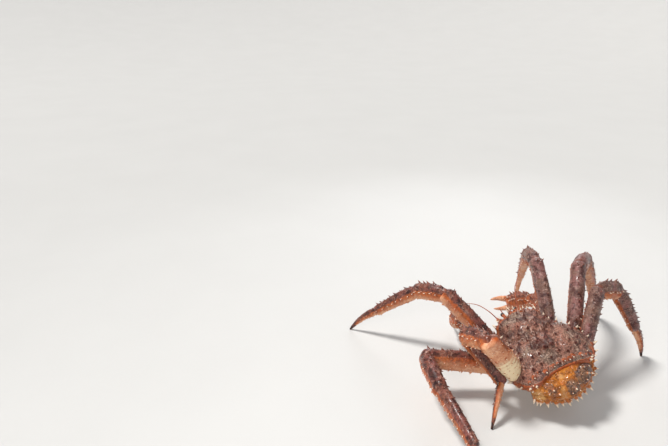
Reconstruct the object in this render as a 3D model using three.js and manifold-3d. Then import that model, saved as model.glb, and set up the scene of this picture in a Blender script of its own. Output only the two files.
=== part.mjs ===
// A red king crab (Paralithodes camtschaticus), life size, standing with its left rear side low.
//
// Everything is modelled in the body's own frame: +X to the crab's right, +Y forward, +Z up, with
// the origin under the middle of the shell's rear margin. Sizes given as shares are shares of the
// shell's length. The last group tilts the body, turns it to face -Y and sets the feet on z = 0.

import * as THREE from "three";
import { mergeVertices } from "three/addons/utils/BufferGeometryUtils.js";
import Module from "manifold-3d";

const wasm = await Module();
wasm.setup();

// Driving dimensions, in millimetres and degrees
const SHELL_LENGTH = 150; // from the eye sockets to the middle of the rear margin
const GAP = 0.3; // between pieces that touch
const STANDING_HEIGHT = 80; // of the body's origin above the floor
const ROLL = 20; // the right side is raised
const PITCH = 10; // the front is raised
const FAR = 600; // longer than anything here, for cutting blocks

const rad = THREE.MathUtils.degToRad;
const mm = (share) => share * SHELL_LENGTH;
const point = (x, y, z) => new THREE.Vector3(mm(x), mm(y), mm(z));
const smooth = (low, high, x) => THREE.MathUtils.smoothstep(x, low, high);
const bump = (x, y, cx, cy, rx, ry) => Math.exp(-(((x - cx) / rx) ** 2) - ((y - cy) / ry) ** 2);

// A seeded draw, so that the spines vary the same way each time.
function seeded(seed) {
  let state = seed;
  return () => {
    state = (state * 1664525 + 1013904223) % 4294967296;
    return state / 4294967296;
  };
}
const draw = seeded(7);
const vary = (spread) => 1 + spread * (2 * draw() - 1);

// How the body is tilted over the floor, and the floor as the tilted body sees it.
const tilt = new THREE.Quaternion()
  .setFromAxisAngle(new THREE.Vector3(1, 0, 0), rad(PITCH))
  .multiply(new THREE.Quaternion().setFromAxisAngle(new THREE.Vector3(0, 1, 0), rad(-ROLL)));
const untilt = tilt.clone().invert();
const UP = new THREE.Vector3(0, 0, 1).applyQuaternion(untilt);
const heightOf = (p) => p.dot(UP) + STANDING_HEIGHT;

// Materials
const paint = (name, colour, roughness) =>
  Object.assign(new THREE.MeshStandardMaterial({ color: colour, roughness, metalness: 0 }), { name });
const SHELL = paint("shell", 0x7d5a52, 0.55);
const BELLY = paint("belly", 0xd9bf94, 0.5);
const ABDOMEN = paint("abdomen", 0xc48b3f, 0.5);
const LEG = paint("leg", 0x6a3f3c, 0.5);
const CLAW = paint("claw", 0xd9b98a, 0.45);
const FEELER = paint("feeler", 0xc2472b, 0.5);
const EYE = paint("eye", 0x0c0a0a, 0.15);

// Solids

// A closed three.js geometry as a solid, turned the right way out.
function solid(geometry) {
  const bare = new THREE.BufferGeometry().setAttribute("position", geometry.getAttribute("position"));
  bare.setIndex(geometry.index);
  const merged = mergeVertices(bare, 1e-4);
  const positions = merged.attributes.position.array;
  const triVerts = new Uint32Array(merged.index.array);
  const make = () => new wasm.Manifold(new wasm.Mesh({ numProp: 3, vertProperties: positions, triVerts }));
  const made = make();
  if (made.volume() > 0) return made;
  for (let i = 0; i < triVerts.length; i += 3) {
    [triVerts[i + 1], triVerts[i + 2]] = [triVerts[i + 2], triVerts[i + 1]];
  }
  return make();
}

// A closed solid through rings of the same number of points, with a fan over each end.
// The far fan can rise to a point of its own.
function loft(rings, tip) {
  const sides = rings[0].length;
  const points = rings.flat();
  const index = [];
  for (let r = 0; r + 1 < rings.length; r++) {
    for (let i = 0; i < sides; i++) {
      const a = r * sides + i;
      const b = r * sides + ((i + 1) % sides);
      index.push(a, b, b + sides, a, b + sides, a + sides);
    }
  }
  const middle = (ring) => ring.reduce((sum, p) => sum.add(p), new THREE.Vector3()).divideScalar(sides);
  const start = points.push(middle(rings[0])) - 1;
  const end = points.push(tip ?? middle(rings.at(-1))) - 1;
  const last = (rings.length - 1) * sides;
  for (let i = 0; i < sides; i++) {
    const j = (i + 1) % sides;
    index.push(start, j, i, end, last + i, last + j);
  }
  const numbers = points.flatMap((p) => [p.x, p.y, p.z]);
  const geometry = new THREE.BufferGeometry();
  geometry.setAttribute("position", new THREE.Float32BufferAttribute(numbers, 3));
  geometry.setIndex(index);
  return solid(geometry);
}

// A pointed spine whose root is sunk in what it grows from.
function spine(root, direction, length, radius, sides = 4) {
  const axis = direction.clone().normalize();
  const across = new THREE.Vector3(axis.y, axis.z, axis.x).cross(axis).normalize();
  const over = axis.clone().cross(across);
  const foot = Array.from({ length: sides }, (_, i) => {
    const turn = (2 * Math.PI * i) / sides;
    return root
      .clone()
      .addScaledVector(axis, -radius)
      .addScaledVector(across, radius * Math.cos(turn))
      .addScaledVector(over, radius * Math.sin(turn));
  });
  return loft([foot], root.clone().addScaledVector(axis, length));
}

const join = (solids) => solids.reduce((sum, s) => sum.add(s));

// Whether two solids come closer than a gap and a half.
function meet(a, b) {
  const near = 1.5 * GAP;
  const [boxA, boxB] = [a.boundingBox(), b.boundingBox()];
  const apart = [0, 1, 2].some(
    (i) => boxA.min[i] > boxB.max[i] + near || boxB.min[i] > boxA.max[i] + near,
  );
  return !apart && a.minGap(b, 2 * near) < near;
}

// Everything on the side of a plane that its normal points to.
function beyond(planePoint, normal) {
  const block = new THREE.BoxGeometry(2 * FAR, 2 * FAR, FAR);
  block.translate(0, 0, FAR / 2);
  block.applyQuaternion(new THREE.Quaternion().setFromUnitVectors(new THREE.Vector3(0, 0, 1), normal));
  block.translate(planePoint.x, planePoint.y, planePoint.z);
  return solid(block);
}

const crab = new THREE.Group();
const pieces = [];

// Notes a piece of the crab: its body, the spines on it and the cuts that part it from its neighbours.
function piece(name, material, body, spines = [], cuts = []) {
  const trim = (shape) => cuts.reduce((left, cut) => left.subtract(cut), shape);
  pieces.push({ name, material, body: trim(body), spines, trim });
}

// Joins each piece with those of its spines that stay clear of every other piece.
function finish() {
  const solids = pieces.map(({ body }) => body);
  pieces.forEach(({ name, material, spines, trim }, i) => {
    const others = solids.filter((_, k) => k !== i);
    const free = spines.map(trim).filter((s) => !s.isEmpty() && !others.some((other) => meet(s, other)));
    solids[i] = join([solids[i], ...free]);
    place(name, material, solids[i]);
  });
}

// The largest closed body of a solid becomes one named mesh of the crab.
function place(name, material, shape) {
  const largest = shape.decompose().reduce((a, b) => (a.volume() > b.volume() ? a : b));
  const mesh = largest.getMesh();
  const positions = new Float32Array(mesh.numVert * 3);
  for (let i = 0; i < mesh.numVert; i++) {
    positions.set(mesh.vertProperties.subarray(i * mesh.numProp, i * mesh.numProp + 3), i * 3);
  }
  const geometry = new THREE.BufferGeometry();
  geometry.setAttribute("position", new THREE.BufferAttribute(positions, 3));
  geometry.setIndex(new THREE.BufferAttribute(mesh.triVerts, 1));
  geometry.computeVertexNormals();
  const made = new THREE.Mesh(geometry, material);
  made.name = name;
  crab.add(made);
}

// Shell

const SHELL_MIDDLE = [0, 0.42];
const SHELL_SIDES = 36;
const DOME_RISE = 0.2;
const RIM_REAR = 0.09; // height of the rear margin
const RIM_FRONT = 0.07; // height of the margin over the eyes
const SHELL_UNDER = -0.125; // height of the shell's underside
const HALF_OUTLINE = [
  [0, 1.02], [0.1, 0.99], [0.2, 0.965], [0.275, 0.91], [0.325, 0.8], [0.365, 0.69], [0.44, 0.59],
  [0.51, 0.45], [0.54, 0.31], [0.515, 0.17], [0.44, 0.05], [0.33, 0], [0.18, 0.015], [0, 0.035],
];

// A closed curve through a half outline, from front to rear, and its mirror image.
function mirrored(half) {
  const other = half.slice(1, -1).reverse().map(([x, y]) => [-x, y]);
  return new THREE.CatmullRomCurve3([...half, ...other].map(([x, y]) => new THREE.Vector3(x, y, 0)), true);
}
const outline = mirrored(HALF_OUTLINE);

const rimHeight = (x, y) =>
  RIM_FRONT * smooth(0.72, 1, y) + RIM_REAR * (1 - smooth(0, 0.2, y)) * (1 - smooth(0.2, 0.5, Math.abs(x)));

// The swellings of the shell over stomach, heart and gills, and the grooves between them.
function regions(x, y) {
  const side = Math.abs(x);
  const stomach = 0.055 * bump(x, y, 0, 0.7, 0.17, 0.15);
  const heart = 0.05 * bump(x, y, 0, 0.32, 0.11, 0.11);
  const gills = 0.05 * bump(side, y, 0.3, 0.33, 0.15, 0.2);
  const front = 0.015 * bump(side, y, 0.23, 0.83, 0.07, 0.07);
  const neckAcross = 0.14 + 0.35 * smooth(0.48, 0.75, y);
  const neck = -0.035 * bump(side, y, neckAcross, y, 0.05, 1) * bump(0, y, 0, 0.56, 1, 0.12);
  const besideHeart = -0.022 * bump(side, y, 0.135, 0.32, 0.035, 0.13);
  const rear = -0.015 * bump(x, y, 0, 0.12, 0.3, 0.04);
  return stomach + heart + gills + front + neck + besideHeart + rear;
}

// A point of the shell's top, t of the way from its middle to the rim point.
function shellTop(rim, t) {
  const x = rim.x * t;
  const y = SHELL_MIDDLE[1] + (rim.y - SHELL_MIDDLE[1]) * t;
  const dome = DOME_RISE * (1 - t ** 2.6) ** 0.75;
  return [x, y, rimHeight(rim.x, rim.y) * t * t + dome + regions(x, y) * (1 - t ** 4)];
}

const SHELL_TOP_STEPS = [0.1, 0.25, 0.4, 0.54, 0.67, 0.78, 0.87, 0.94, 0.98];
// Rings from the rim down to the underside: share of the rim, share of the fall
const SHELL_SIDE_STEPS = [[1, 0], [1, 0.3], [0.95, 0.65], [0.87, 0.9], [0.8, 1]];

function shellSolid(grow = 0) {
  const rims = outline.getSpacedPoints(SHELL_SIDES).slice(0, SHELL_SIDES);
  const wider = 1 + grow / mm(0.4);
  const put = (x, y, z) => point(x * wider, SHELL_MIDDLE[1] + (y - SHELL_MIDDLE[1]) * wider, z);
  const raise = new THREE.Vector3(0, 0, grow);
  const top = SHELL_TOP_STEPS.map((t) => rims.map((rim) => put(...shellTop(rim, t)).add(raise)));
  const side = SHELL_SIDE_STEPS.map(([share, fall]) =>
    rims.map((rim) => {
      const z = THREE.MathUtils.lerp(rimHeight(rim.x, rim.y), SHELL_UNDER - grow / SHELL_LENGTH, fall);
      return put(rim.x * share, SHELL_MIDDLE[1] + (rim.y - SHELL_MIDDLE[1]) * share, z);
    }),
  );
  return loft([...top, ...side]);
}

// A place on the shell's top with its outward direction.
function onShell(x, y) {
  const surface = (px, py) => {
    const dx = px;
    const dy = py - SHELL_MIDDLE[1];
    const angle = Math.atan2(dy, dx);
    const reach = Math.hypot(dx, dy);
    const rim = rimAt(angle);
    const t = Math.min(1, reach / Math.hypot(rim.x, rim.y - SHELL_MIDDLE[1]));
    return { z: shellTop(rim, t)[2], t };
  };
  const here = surface(x, y);
  const step = 0.02;
  const slopeX = (surface(x + step, y).z - surface(x - step, y).z) / (2 * step);
  const slopeY = (surface(x, y + step).z - surface(x, y - step).z) / (2 * step);
  const out = new THREE.Vector3(-slopeX, -slopeY, 1).normalize();
  return { place: point(x, y, here.z), out, t: here.t };
}

// The rim point in a given direction from the shell's middle.
const rimPoints = outline.getSpacedPoints(360);
function rimAt(angle) {
  const off = (p) => Math.abs(Math.atan2(Math.sin(angle - turnOf(p)), Math.cos(angle - turnOf(p))));
  return rimPoints.reduce((best, p) => (off(p) < off(best) ? p : best));
}
const turnOf = (p) => Math.atan2(p.y - SHELL_MIDDLE[1], p.x - SHELL_MIDDLE[0]);

const TOP_SPINE_PITCH = 0.112;
const TOP_ROW_PITCH = 0.87 * TOP_SPINE_PITCH;
const TOP_SPINE_REACH = 0.9; // share of the way to the rim that they cover
const RIM_SPINES = 12; // on each side
const RIM_SPINE_START = 68; // degrees from straight right to the foremost one
const RIM_SPINE_ARC = 118; // degrees that they run round each side
const REAR_SPINES = 9;

// The cones scattered over the top of the shell, larger over the heart and the stomach.
function shellSpines() {
  const spines = [];
  const rows = Math.ceil(1 / TOP_ROW_PITCH);
  for (let row = 0; row < rows; row++) {
    for (let column = -6; column <= 6; column++) {
      const x = (column + (row % 2) / 2) * TOP_SPINE_PITCH * vary(0.06) + 0.018 * (draw() - 0.5);
      const y = 0.09 + row * TOP_ROW_PITCH + 0.022 * (draw() - 0.5);
      const { place: root, out, t } = onShell(x, y);
      if (t > TOP_SPINE_REACH) continue;
      const raised = 1 + 0.6 * bump(x, y, 0, 0.32, 0.1, 0.12) + 0.35 * bump(x, y, 0, 0.7, 0.14, 0.14);
      out.add(new THREE.Vector3(0, 0.12, 0.1));
      spines.push(spine(root, out, mm(0.04) * raised * vary(0.15), mm(0.024) * vary(0.12)));
    }
  }
  return spines;
}

// The row of larger spines along each side of the shell, and the small ones of its rear margin.
function rimSpines() {
  const spines = [];
  for (const side of [-1, 1]) {
    for (let i = 0; i < RIM_SPINES; i++) {
      const share = i / (RIM_SPINES - 1);
      const turn = RIM_SPINE_START - RIM_SPINE_ARC * share;
      const rim = rimAt(rad(side > 0 ? turn : 180 - turn));
      const forward = rim.y - SHELL_MIDDLE[1];
      const out = new THREE.Vector3(rim.x, forward, 0.12).normalize();
      out.y += 0.25;
      const root = point(rim.x * 0.97, SHELL_MIDDLE[1] + forward * 0.97, rimHeight(rim.x, rim.y) - 0.005);
      spines.push(spine(root, out, mm(0.062) * vary(0.15), mm(0.026), 6));
    }
  }
  for (let i = 0; i < REAR_SPINES; i++) {
    const x = 0.33 * (2 * (i / (REAR_SPINES - 1)) - 1);
    const { place: root, out } = onShell(x, 0.068 - 0.02 * Math.abs(x));
    spines.push(spine(root, out.add(new THREE.Vector3(0, -0.4, 0)), mm(0.028) * vary(0.1), mm(0.017)));
  }
  return spines;
}

// The beak between the eyes: one strong point, a pair over it and two spines outside each eye.
// Each row has the root, the direction, the length and the radius; all but the first are mirrored.
const BEAK = [
  [[0, 0.97, 0.075], [0, 1, 0.12], 0.15, 0.034],
  [[0.03, 0.985, 0.095], [0.35, 1, 0.75], 0.07, 0.02],
  [[0.155, 0.955, 0.07], [0.3, 1, 0.25], 0.075, 0.022],
  [[0.255, 0.915, 0.055], [0.8, 1, 0.25], 0.07, 0.024],
];

function beak() {
  return BEAK.flatMap(([[x, y, z], [dx, dy, dz], length, radius]) =>
    (x === 0 ? [1] : [-1, 1]).map((side) =>
      spine(point(side * x, y, z), new THREE.Vector3(side * dx, dy, dz), mm(length), mm(radius), 6),
    ),
  );
}

const shellKeepOut = shellSolid(GAP);
piece("carapace", SHELL, shellSolid(), [...beak(), ...rimSpines(), ...shellSpines()]);

// Thorax: the plates under the shell that carry the legs

const THORAX_HALF_OUTLINE = [
  [0, 0.9], [0.1, 0.88], [0.18, 0.78], [0.235, 0.62], [0.26, 0.44],
  [0.25, 0.26], [0.23, 0.1], [0.18, -0.03], [0.1, -0.06], [0, -0.065],
];
const THORAX_MIDDLE = 0.46;
// Share of the outline, share of the depth
const THORAX_RINGS = [[1, 0], [1.03, 0.3], [0.93, 0.75], [0.72, 1]];
const THORAX_BOTTOM = -0.315;
const THORAX_SIDES = 28;
const thoraxOutline = mirrored(THORAX_HALF_OUTLINE);

function thoraxSolid(grow = 0) {
  const edge = thoraxOutline.getSpacedPoints(THORAX_SIDES).slice(0, THORAX_SIDES);
  const wider = 1 + grow / mm(0.2);
  const top = mm(SHELL_UNDER) - GAP + 2 * grow;
  return loft(
    THORAX_RINGS.map(([share, fall]) =>
      edge.map((p) => {
        const scale = share * wider;
        const flat = point(p.x * scale, THORAX_MIDDLE + (p.y - THORAX_MIDDLE) * scale, 0);
        flat.z = THREE.MathUtils.lerp(top, mm(THORAX_BOTTOM) - grow, fall);
        return flat;
      }),
    ),
  );
}

const thoraxKeepOut = thoraxSolid(GAP);
piece("thorax", BELLY, thoraxSolid());

// Limbs

const SQUARENESS = 0.85; // 1 is an ellipse, less is squarer

// A tube along a bent path. Each ring has its own half height and half width and faces along the path.
function sweep(path, heights, widths, dorsal, sides) {
  const square = (v) => Math.sign(v) * Math.abs(v) ** SQUARENESS;
  const rings = path.map((p, i) => {
    const next = path[Math.min(i + 1, path.length - 1)];
    const forward = next.clone().sub(path[Math.max(i - 1, 0)]).normalize();
    const over = dorsal.clone().addScaledVector(forward, -dorsal.dot(forward)).normalize();
    const across = forward.clone().cross(over);
    return Array.from({ length: sides }, (_, k) => {
      const turn = (2 * Math.PI * (k + 0.5)) / sides;
      return p
        .clone()
        .addScaledVector(over, heights[i] * square(Math.cos(turn)))
        .addScaledVector(across, widths[i] * square(Math.sin(turn)));
    });
  });
  return loft(rings);
}

// The value at share t of a list of evenly spaced values.
const along = (values, t) => {
  const at = THREE.MathUtils.clamp(t, 0, 1) * (values.length - 1);
  const i = Math.min(Math.floor(at), values.length - 2);
  return THREE.MathUtils.lerp(values[i], values[i + 1], at - i);
};

const SPINE_RADIUS = 0.42; // share of a limb spine's length
const END_REACH = 0.8; // how far a round end reaches past its joint, in half heights
const roundEnd = (q) => Math.sqrt(1 - (0.97 * q) ** 2);

// One segment of a limb from a to b, with round ends that reach past both joints.
function segment(a, b, look) {
  const { heights, widths, bow = 0, sides = 10, steps = 4 } = look;
  const length = a.distanceTo(b);
  const forward = b.clone().sub(a).normalize();
  const up = UP.clone().addScaledVector(forward, -UP.dot(forward)).normalize();
  const side = forward.clone().cross(up);
  const centre = (t) => a.clone().lerp(b, t).addScaledVector(up, bow * length * 4 * t * (1 - t));
  const stations = [];
  const start = (mm(heights[0]) * END_REACH) / length;
  const end = (mm(heights.at(-1)) * END_REACH) / length;
  for (const q of [1, 0.6]) stations.push([-start * q, roundEnd(q)]);
  for (let i = 0; i <= steps; i++) stations.push([i / steps, 1]);
  if (!look.pointed) for (const q of [0.6, 1]) stations.push([1 + end * q, roundEnd(q)]);
  const path = stations.map(([t]) => {
    const inside = THREE.MathUtils.clamp(t, 0, 1);
    return centre(inside).addScaledVector(forward, length * (t - inside));
  });
  const heightAt = stations.map(([t, round]) => mm(along(heights, t)) * round);
  const widthAt = stations.map(([t, round]) => mm(along(widths, t)) * round);
  const solidBody = sweep(path, heightAt, widthAt, up, sides);
  // A spine at share t of the length, turned from the top edge by an angle; it leans towards the tip.
  const spineAt = (t, angle, size, lean = 0.35, spread = 0.12) => {
    const turn = rad(angle);
    const h = mm(along(heights, t));
    const w = mm(along(widths, t));
    const at = (upward, sideways) =>
      up.clone().multiplyScalar(upward * Math.cos(turn)).addScaledVector(side, sideways * Math.sin(turn));
    const out = at(1 / h, 1 / w).normalize().addScaledVector(forward, lean);
    const root = centre(t).add(at(0.9 * h, 0.9 * w));
    return spine(root, out, mm(size) * vary(spread), mm(size) * SPINE_RADIUS);
  };
  return { body: solidBody, spineAt };
}

// The cut that ends a segment at its joint, square across the bend, and leaves half of the gap.
function jointCut(joint, before, after, keepFirst) {
  const normal = before.clone().add(after).normalize().multiplyScalar(keepFirst ? 1 : -1);
  return beyond(joint.clone().addScaledVector(normal, -GAP / 2), normal);
}

// A direction given by its turn forward from straight out to the side and its rise over the floor.
function heading(side, turn, rise) {
  return new THREE.Vector3(
    side * Math.cos(rad(rise)) * Math.cos(rad(turn)),
    Math.cos(rad(rise)) * Math.sin(rad(turn)),
    Math.sin(rad(rise)),
  ).applyQuaternion(untilt);
}

// The joints of a leg, hip to tip. The last segment falls just far enough to touch the floor.
function legJoints(side, base, lengths, bends) {
  const joints = [point(side * base[0], base[1], base[2])];
  bends.slice(0, -1).forEach(([turn, rise], i) => {
    joints.push(joints[i].clone().addScaledVector(heading(side, turn, rise), mm(lengths[i])));
  });
  const reach = mm(lengths.at(-1));
  const fall = THREE.MathUtils.radToDeg(Math.asin(heightOf(joints.at(-1)) / reach));
  joints.push(joints.at(-1).clone().addScaledVector(heading(side, bends.at(-1)[0], -fall), reach));
  return joints;
}

const LEG_SEGMENTS = ["hip", "thigh", "knee", "shin", "tip"];
const LEG_LOOKS = [
  { heights: [0.07, 0.085, 0.085], widths: [0.06, 0.068, 0.066], sides: 8, steps: 2 },
  { heights: [0.085, 0.1, 0.104, 0.098], widths: [0.066, 0.074, 0.076, 0.072], bow: 0.02, sides: 8 },
  { heights: [0.094, 0.1, 0.09], widths: [0.07, 0.074, 0.066], bow: 0.03, sides: 8, steps: 2 },
  { heights: [0.088, 0.08, 0.07, 0.06], widths: [0.064, 0.056, 0.05, 0.044], bow: 0.015, sides: 8 },
  {
    heights: [0.056, 0.042, 0.03, 0.012],
    widths: [0.042, 0.032, 0.023, 0.01],
    bow: 0.06,
    sides: 8,
    steps: 6,
    pointed: true,
  },
];
// Rows of spines on each segment: share of the length, angle from the top edge, size
const LEG_SPINES = [
  [],
  [
    ...[0.16, 0.3, 0.45, 0.6, 0.76, 0.92].map((t, i) => [t, 0, i === 5 ? 0.06 : 0.045]),
    ...[0.25, 0.45, 0.65, 0.85].flatMap((t) => [[t, 155, 0.034], [t, -155, 0.034]]),
    ...[0.35, 0.6, 0.84].flatMap((t) => [[t, 62, 0.03], [t, -62, 0.03]]),
  ],
  [
    [0.25, 0, 0.04], [0.6, 0, 0.05], [0.9, 12, 0.058],
    [0.5, 60, 0.034], [0.5, -60, 0.034], [0.85, 75, 0.036], [0.85, -75, 0.036],
  ],
  [
    ...[0.12, 0.3, 0.48, 0.66, 0.84].map((t) => [t, 0, 0.04]),
    ...[0.2, 0.42, 0.64, 0.88].flatMap((t) => [[t, 140, 0.03], [t, -140, 0.03]]),
    ...[0.35, 0.7].flatMap((t) => [[t, 70, 0.028], [t, -70, 0.028]]),
  ],
  [[0.1, 12, 0.026], [0.22, -12, 0.024], [0.12, 80, 0.022], [0.12, -80, 0.022], [0.3, 165, 0.018]],
];
// Each pair of walking legs: hip place, segment lengths and how thick it is beside the second pair
const LEGS = {
  front: { base: [0.215, 0.6, -0.19], lengths: [0.27, 0.88, 0.45, 0.7, 0.57], girth: 1.14 },
  middle: { base: [0.235, 0.42, -0.2], lengths: [0.28, 0.95, 0.48, 0.75, 0.6], girth: 1.22 },
  rear: { base: [0.2, 0.24, -0.2], lengths: [0.25, 0.8, 0.42, 0.66, 0.54], girth: 1.16 },
};
// How each leg is held: turn forward and rise of each segment; the tip's rise follows from the floor
const STANCE = {
  left: {
    front: [[42, 8], [55, 36], [62, -14], [40, -38], [40]],
    middle: [[14, 6], [19, 7], [-84, -9], [-88, -8], [-55]],
    rear: [[0, 6], [0, 52], [84, -22], [-130, -44], [-46]],
  },
  right: {
    front: [[45, 14], [74, 42], [66, -14], [54, -50], [58]],
    middle: [[12, 20], [52, 46], [34, -14], [22, -54], [30]],
    rear: [[0, 14], [40, 52], [10, -14], [-18, -58], [-5]],
  },
};

function makeLeg(sideName, pair) {
  const side = sideName === "left" ? -1 : 1;
  const { base, lengths, girth } = LEGS[pair];
  const joints = legJoints(side, base, lengths, STANCE[sideName][pair]);
  const directions = joints.slice(1).map((p, i) => p.clone().sub(joints[i]).normalize());
  LEG_SEGMENTS.forEach((name, i) => {
    const look = { ...LEG_LOOKS[i] };
    look.heights = look.heights.map((h) => h * girth);
    look.widths = look.widths.map((w) => w * girth);
    const made = segment(joints[i], joints[i + 1], look);
    const cuts = [];
    if (i > 0) cuts.push(jointCut(joints[i], directions[i - 1], directions[i], false));
    if (i < 4) cuts.push(jointCut(joints[i + 1], directions[i], directions[i + 1], true));
    if (i === 0) cuts.push(thoraxKeepOut);
    if (i < 2) cuts.push(shellKeepOut);
    if (i === 4) cuts.push(beyond(UP.clone().multiplyScalar(-STANDING_HEIGHT), UP.clone().negate()));
    const spines = LEG_SPINES[i].map((s) => made.spineAt(...s));
    piece(`leg_${sideName}_${pair}_${name}`, LEG, made.body, spines, cuts);
  });
}

for (const sideName of ["left", "right"]) {
  for (const pair of Object.keys(LEGS)) makeLeg(sideName, pair);
}

// Claws

const CLAW_BASE = [0.15, 0.76, -0.2];
const CLAW_LENGTHS = [0.2, 0.4, 0.27, 0.36, 0.34];
const CLAW_LOOKS = [
  { heights: [0.055, 0.062], widths: [0.05, 0.055], sides: 10, steps: 2 },
  { heights: [0.062, 0.08, 0.084], widths: [0.056, 0.066, 0.07], bow: 0.02, sides: 10, steps: 3 },
  { heights: [0.08, 0.09, 0.084], widths: [0.07, 0.08, 0.078], sides: 10, steps: 2 },
  { heights: [0.086, 0.12, 0.11], widths: [0.075, 0.092, 0.08], sides: 12, steps: 3 },
];
const CLAW_SPINES = [
  [],
  [[0.3, 0, 0.04], [0.6, 0, 0.045], [0.88, 0, 0.055], [0.7, 60, 0.035], [0.7, -60, 0.035]],
  [
    [0.25, 10, 0.045], [0.6, 0, 0.055],
    [0.8, 45, 0.045], [0.8, -45, 0.045], [0.45, 70, 0.035], [0.45, -70, 0.035],
  ],
  [
    [0.2, 0, 0.045], [0.45, 8, 0.045], [0.7, -8, 0.042],
    [0.35, 55, 0.034], [0.35, -55, 0.034], [0.65, 60, 0.03], [0.65, -60, 0.03],
  ],
];
const CLAW_STANCE = {
  left: { size: 0.9, bends: [[56, -8], [50, 12], [76, -8], [112, -26], [122, -34]] },
  right: { size: 1, bends: [[50, -4], [42, 16], [76, -8], [112, -32], [122, -38]] },
};

const FINGER_STATIONS = [-0.18, 0, 0.25, 0.5, 0.75, 0.92, 1];
const FINGER_TAPER = [0.9, 1, 0.86, 0.68, 0.46, 0.28, 0.12];
const TEETH = [0.2, 0.38, 0.56, 0.74]; // shares of a finger's length

// A curved finger with a row of blunt teeth on its inner edge.
function finger(root, forward, up, length, thickness, bow) {
  const inner = up.clone().multiplyScalar(-Math.sign(bow));
  const centre = (t) => {
    const bent = bow * length * 4 * Math.max(t, 0) * (1 - Math.max(t, 0));
    return root.clone().addScaledVector(forward, length * t).addScaledVector(up, bent);
  };
  const heights = FINGER_TAPER.map((share) => share * thickness);
  const body = sweep(FINGER_STATIONS.map(centre), heights, heights.map((h) => h * 0.8), up, 8);
  const teeth = TEETH.map((t, i) => {
    const foot = centre(t).addScaledVector(inner, heights[i + 1] * 0.75);
    return spine(foot, inner, thickness * 0.38, thickness * 0.3, 5);
  });
  return join([body, ...teeth]);
}

function makeClaw(sideName) {
  const side = sideName === "left" ? -1 : 1;
  const { size, bends } = CLAW_STANCE[sideName];
  const joints = [point(side * CLAW_BASE[0], CLAW_BASE[1], CLAW_BASE[2])];
  bends.forEach(([turn, rise], i) => {
    const length = mm(CLAW_LENGTHS[i]) * (i > 0 ? size : 1);
    joints.push(joints[i].clone().addScaledVector(heading(side, turn, rise), length));
  });
  const directions = joints.slice(1).map((p, i) => p.clone().sub(joints[i]).normalize());
  ["hip", "arm", "wrist"].forEach((name, i) => {
    const look = { ...CLAW_LOOKS[i] };
    look.heights = look.heights.map((h) => h * (i > 0 ? size : 1));
    look.widths = look.widths.map((w) => w * (i > 0 ? size : 1));
    const made = segment(joints[i], joints[i + 1], look);
    const cuts = [jointCut(joints[i + 1], directions[i], directions[i + 1], true)];
    if (i > 0) cuts.push(jointCut(joints[i], directions[i - 1], directions[i], false));
    if (i < 2) cuts.push(shellKeepOut);
    if (i === 0) cuts.push(thoraxKeepOut);
    const spines = CLAW_SPINES[i].map((s) => made.spineAt(...s));
    piece(`claw_${sideName}_${name}`, LEG, made.body, spines, cuts);
  });

  // The two fingers meet the hand at a slanted plane.
  const forward = directions[3];
  const up = UP.clone().addScaledVector(forward, -UP.dot(forward)).normalize();
  const handLook = { ...CLAW_LOOKS[3] };
  handLook.heights = handLook.heights.map((h) => h * size);
  handLook.widths = handLook.widths.map((w) => w * size);
  const hand = segment(joints[3], joints[4], handLook);
  const fingerLength = mm(CLAW_LENGTHS[4]) * size;
  const lowerRoot = joints[4].clone().addScaledVector(up, mm(-0.055) * size);
  const upperRoot = joints[4].clone().addScaledVector(up, mm(0.05) * size);
  const lower = finger(lowerRoot, forward, up, fingerLength, mm(0.046) * size, -0.05);
  const hinge = joints[4].clone().addScaledVector(forward, mm(0.03) * size);
  const split = forward.clone().addScaledVector(up, 0.35).normalize();
  const upperDirection = forward.clone().addScaledVector(up, 0.12).normalize();
  const upper = finger(upperRoot, upperDirection, up, fingerLength, mm(0.05) * size, 0.06);
  const palm = hand.body.subtract(beyond(hinge, split));
  const wristCut = jointCut(joints[3], directions[2], directions[3], false);
  const ahead = beyond(hinge.clone().addScaledVector(split, GAP), split);
  const fixedFinger = lower.intersect(ahead);
  const handSpines = CLAW_SPINES[3].map((s) => hand.spineAt(...s));
  piece(`claw_${sideName}_hand`, CLAW, palm, handSpines, [wristCut]);
  piece(`claw_${sideName}_fixed_finger`, CLAW, fixedFinger);
  piece(`claw_${sideName}_moving_finger`, CLAW, upper.intersect(ahead), [], [fixedFinger]);
}

makeClaw("left");
makeClaw("right");

// Abdomen: plates that bulge behind the shell and fold forward under the body

// Where its midline runs, from the rear margin down and forward: y, z, half width, thickness
const ABDOMEN_LINE = [
  [-0.004, 0.068, 0.32, 0.05],
  [-0.085, 0.035, 0.38, 0.09],
  [-0.165, -0.05, 0.41, 0.115],
  [-0.19, -0.15, 0.41, 0.12],
  [-0.15, -0.245, 0.39, 0.11],
  [-0.05, -0.32, 0.35, 0.07],
  [0.1, -0.36, 0.3, 0.04],
  [0.3, -0.37, 0.24, 0.038],
  [0.48, -0.365, 0.15, 0.036],
  [0.6, -0.36, 0.06, 0.034],
];
const ABDOMEN_PLATES = [
  ["second", 0, 0.27],
  ["third", 0.27, 0.5],
  ["fourth", 0.5, 0.68],
  ["fifth", 0.68, 0.84],
  ["tail", 0.84, 1],
];
// Rounded bosses on the second plate: across, along, half width, half length
const BOSSES = [[0, 0.24, 0.2, 0.07], [0.55, 0.19, 0.22, 0.08], [-0.55, 0.19, 0.22, 0.08]];
const BOSS_HEIGHT = 0.035;
const MARGIN_REACH = 0.036; // how far forward the midline starts, to meet the shell's rear margin
const MARGIN_LIFT = 0.02; // and how far up
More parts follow.
